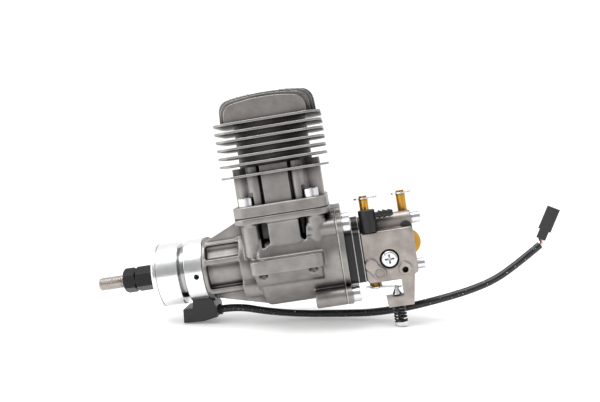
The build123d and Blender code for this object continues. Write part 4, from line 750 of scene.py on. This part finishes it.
# %% Soft castings
def soft_casting(name, node, body, slot, voxel, rounds, most_triangles):
    """A remeshed and smoothed copy of a cast part, which stands for it."""
    body_mesh = bmesh.new()
    body_mesh.from_mesh(frame["nodes"][node].data)
    bmesh.ops.remove_doubles(body_mesh, verts=body_mesh.verts, dist=1e-6)
    mesh = bpy.data.meshes.new(name)
    body_mesh.to_mesh(mesh)
    body_mesh.free()
    piece = put(name, mesh)
    remesh = piece.modifiers.new("even_skin", "REMESH")
    remesh.mode = "VOXEL"
    remesh.voxel_size = voxel
    smoothing = piece.modifiers.new("round_edges", "SMOOTH")
    smoothing.factor = 0.5
    smoothing.iterations = rounds
    graph = bpy.context.evaluated_depsgraph_get()
    even = bpy.data.meshes.new_from_object(piece.evaluated_get(graph))
    triangles = 2 * len(even.polygons)
    piece.modifiers.clear()
    piece.data = even
    if triangles > most_triangles:
        thin = piece.modifiers.new("thin_out", "DECIMATE")
        thin.ratio = most_triangles / triangles
        graph = bpy.context.evaluated_depsgraph_get()
        even = bpy.data.meshes.new_from_object(piece.evaluated_get(graph))
        piece.modifiers.clear()
        piece.data = even
    even.name = name
    even.shade_smooth()
    even.materials.clear()
    even.materials.append(finishes[slot])
    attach(piece, body)
    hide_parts(node)
    kept = sum(len(face.vertices) - 2 for face in even.polygons)
    print(name, triangles, "triangles, kept", kept)


soft_casting("crankcase_casting", "crankcase", "engine", "cast_alloy", 0.0006, 2, 190000)
soft_casting("pump_cover_casting", "pump_cover", "engine", "carb_casting", 0.0003, 2, 120000)
soft_casting("carb_body_casting", "carb_body", "engine", "carb_casting", 0.0003, 2, 190000)

# %% [markdown]
# ## Specks on the sleeve
# Pale specks lie on the sleeve: tiny flat crumbs, scattered by a node tree with a fixed
# seed, so each run puts them in the same places.

# %% Specks
speck_tree, given = new_tree(
    "scattered_specks",
    [
        ("Density", "NodeSocketFloat"),
        ("Speck Radius", "NodeSocketFloat"),
        ("Seed", "NodeSocketInt"),
        ("Material", "NodeSocketMaterial"),
    ],
)
scatter = add_node(
    speck_tree,
    "GeometryNodeDistributePointsOnFaces",
    {"Mesh": given.outputs["Geometry"], "Density": given.outputs["Density"], "Seed": given.outputs["Seed"]},
)
crumb = add_node(
    speck_tree, "GeometryNodeMeshIcoSphere", {"Radius": given.outputs["Speck Radius"], "Subdivisions": 1}
)
sizes = add_node(
    speck_tree,
    "FunctionNodeRandomValue",
    {0: (0.4, 0.4, 0.25), 1: (1.6, 1.0, 0.5), "Seed": given.outputs["Seed"]},
    data_type="FLOAT_VECTOR",
)
specks_on = add_node(
    speck_tree,
    "GeometryNodeInstanceOnPoints",
    {
        "Points": scatter.outputs["Points"],
        "Instance": crumb.outputs[0],
        "Rotation": scatter.outputs["Rotation"],
        "Scale": sizes.outputs[0],
    },
)
end_tree(speck_tree, given, specks_on.outputs[0])
speck_skin = plain_finish("pale_specks", (0.75, 0.75, 0.74), 0.0, 0.6, 2000, 0.00001)
specks = grow(
    "lead_specks",
    speck_tree,
    {"Density": 42000.0, "Speck Radius": 0.00026, "Seed": 5, "Material": speck_skin},
    start=sleeve.data.copy(),
)

# %% Lead pieces
sleeve.data.materials.append(finishes["sleeve"])
for piece, skin in zip(wires, (wire_white_skin, wire_red_skin, finishes["wire"])):
    piece.data.materials.append(skin)
    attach(piece, "engine")
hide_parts("lead_wires")
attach(specks, "engine")
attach(sleeve, "engine")
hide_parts("sensor_lead")
print("lead declared:", round(lead_length * 1000, 1), "mm of sleeve")

# %% [markdown]
# ## Table, sky and lamps
#
# The engine lies on a white table with its propeller end down, so the table is tilted in the
# engine's own frame and touches its lowest point. The table glows faintly and a bright sky
# stands all round, which keeps the table white and the shadows soft. In front, where a camera
# and a dark room would be, the sky is grey: bright metal shows that as a grey band between two
# white ones.

# %% Table
table_tilt = radians(8.5)
table_gap = 0.0001
table_up = Vector((sin(table_tilt), 0, cos(table_tilt)))
lowest = min(
    min((v.co.dot(table_up) for v in o.data.vertices), default=0.0)
    for o in bpy.context.scene.objects
    if o.type == "MESH"
)
bpy.ops.mesh.primitive_circle_add(vertices=96, radius=6.0, fill_type="NGON")
table = bpy.context.object
table.name = "table"
table_place = Matrix.Translation(table_up * (lowest - table_gap))
table.data.transform(table_place @ Matrix.Rotation(table_tilt, 4, "Y"))
table_paint, _, table_shader = new_finish("white_table", (0.90, 0.90, 0.90), 0.0, 0.6)
table_shader.inputs["Emission Color"].default_value = (1, 1, 1, 1)
table_shader.inputs["Emission Strength"].default_value = 0.22
table.data.materials.append(table_paint)
print("table", round(lowest * 1000, 1), "mm from the frame's origin")

# %% Sky
sky = bpy.data.worlds.new("studio_sky")
bpy.context.scene.world = sky
sky.use_nodes = True
sky_tree = sky.node_tree
backdrop = sky_tree.nodes["Background"]
dark_room = Vector((0.05, -0.95, 0.12)).normalized()
direction = add_node(sky_tree, "ShaderNodeTexCoord").outputs["Generated"]
front = add_node(
    sky_tree,
    "ShaderNodeVectorMath",
    {0: direction, 1: dark_room},
    operation="DOT_PRODUCT",
).outputs["Value"]
room = add_node(
    sky_tree,
    "ShaderNodeMapRange",
    {"Value": front, "From Min": 0.55, "From Max": 0.90, "To Min": 1.0, "To Max": 0.40},
    interpolation_type="SMOOTHSTEP",
).outputs["Result"]
seen = add_node(sky_tree, "ShaderNodeLightPath").outputs["Is Camera Ray"]
strength = add_node(sky_tree, "ShaderNodeMix", {"Factor": seen, 2: room, 3: 1.15})
sky_tree.links.new(strength.outputs[0], backdrop.inputs["Strength"])
backdrop.inputs["Color"].default_value = (1, 1, 1, 1)
print("sky:", len(sky_tree.nodes), "nodes")


# %% Lamps
def softbox(name, place, size, power):
    """A square area lamp at a place, turned to the engine's middle."""
    lamp_data = bpy.data.lights.new(name, "AREA")
    lamp_data.size = size
    lamp_data.energy = power
    lamp = bpy.data.objects.new(name, lamp_data)
    lamp.location = place
    aim = Vector((0.02, 0, 0.02)) - lamp.location
    lamp.rotation_euler = aim.to_track_quat("-Z", "Y").to_euler()
    bpy.context.scene.collection.objects.link(lamp)


softbox("top_softbox", (-0.15, -0.15, 0.9), 0.7, 5.0)
softbox("left_softbox", (-0.9, -0.5, 0.5), 0.5, 3.0)
bpy.context.scene.view_settings.view_transform = "Standard"
print("lamps:", len(bpy.data.lights))
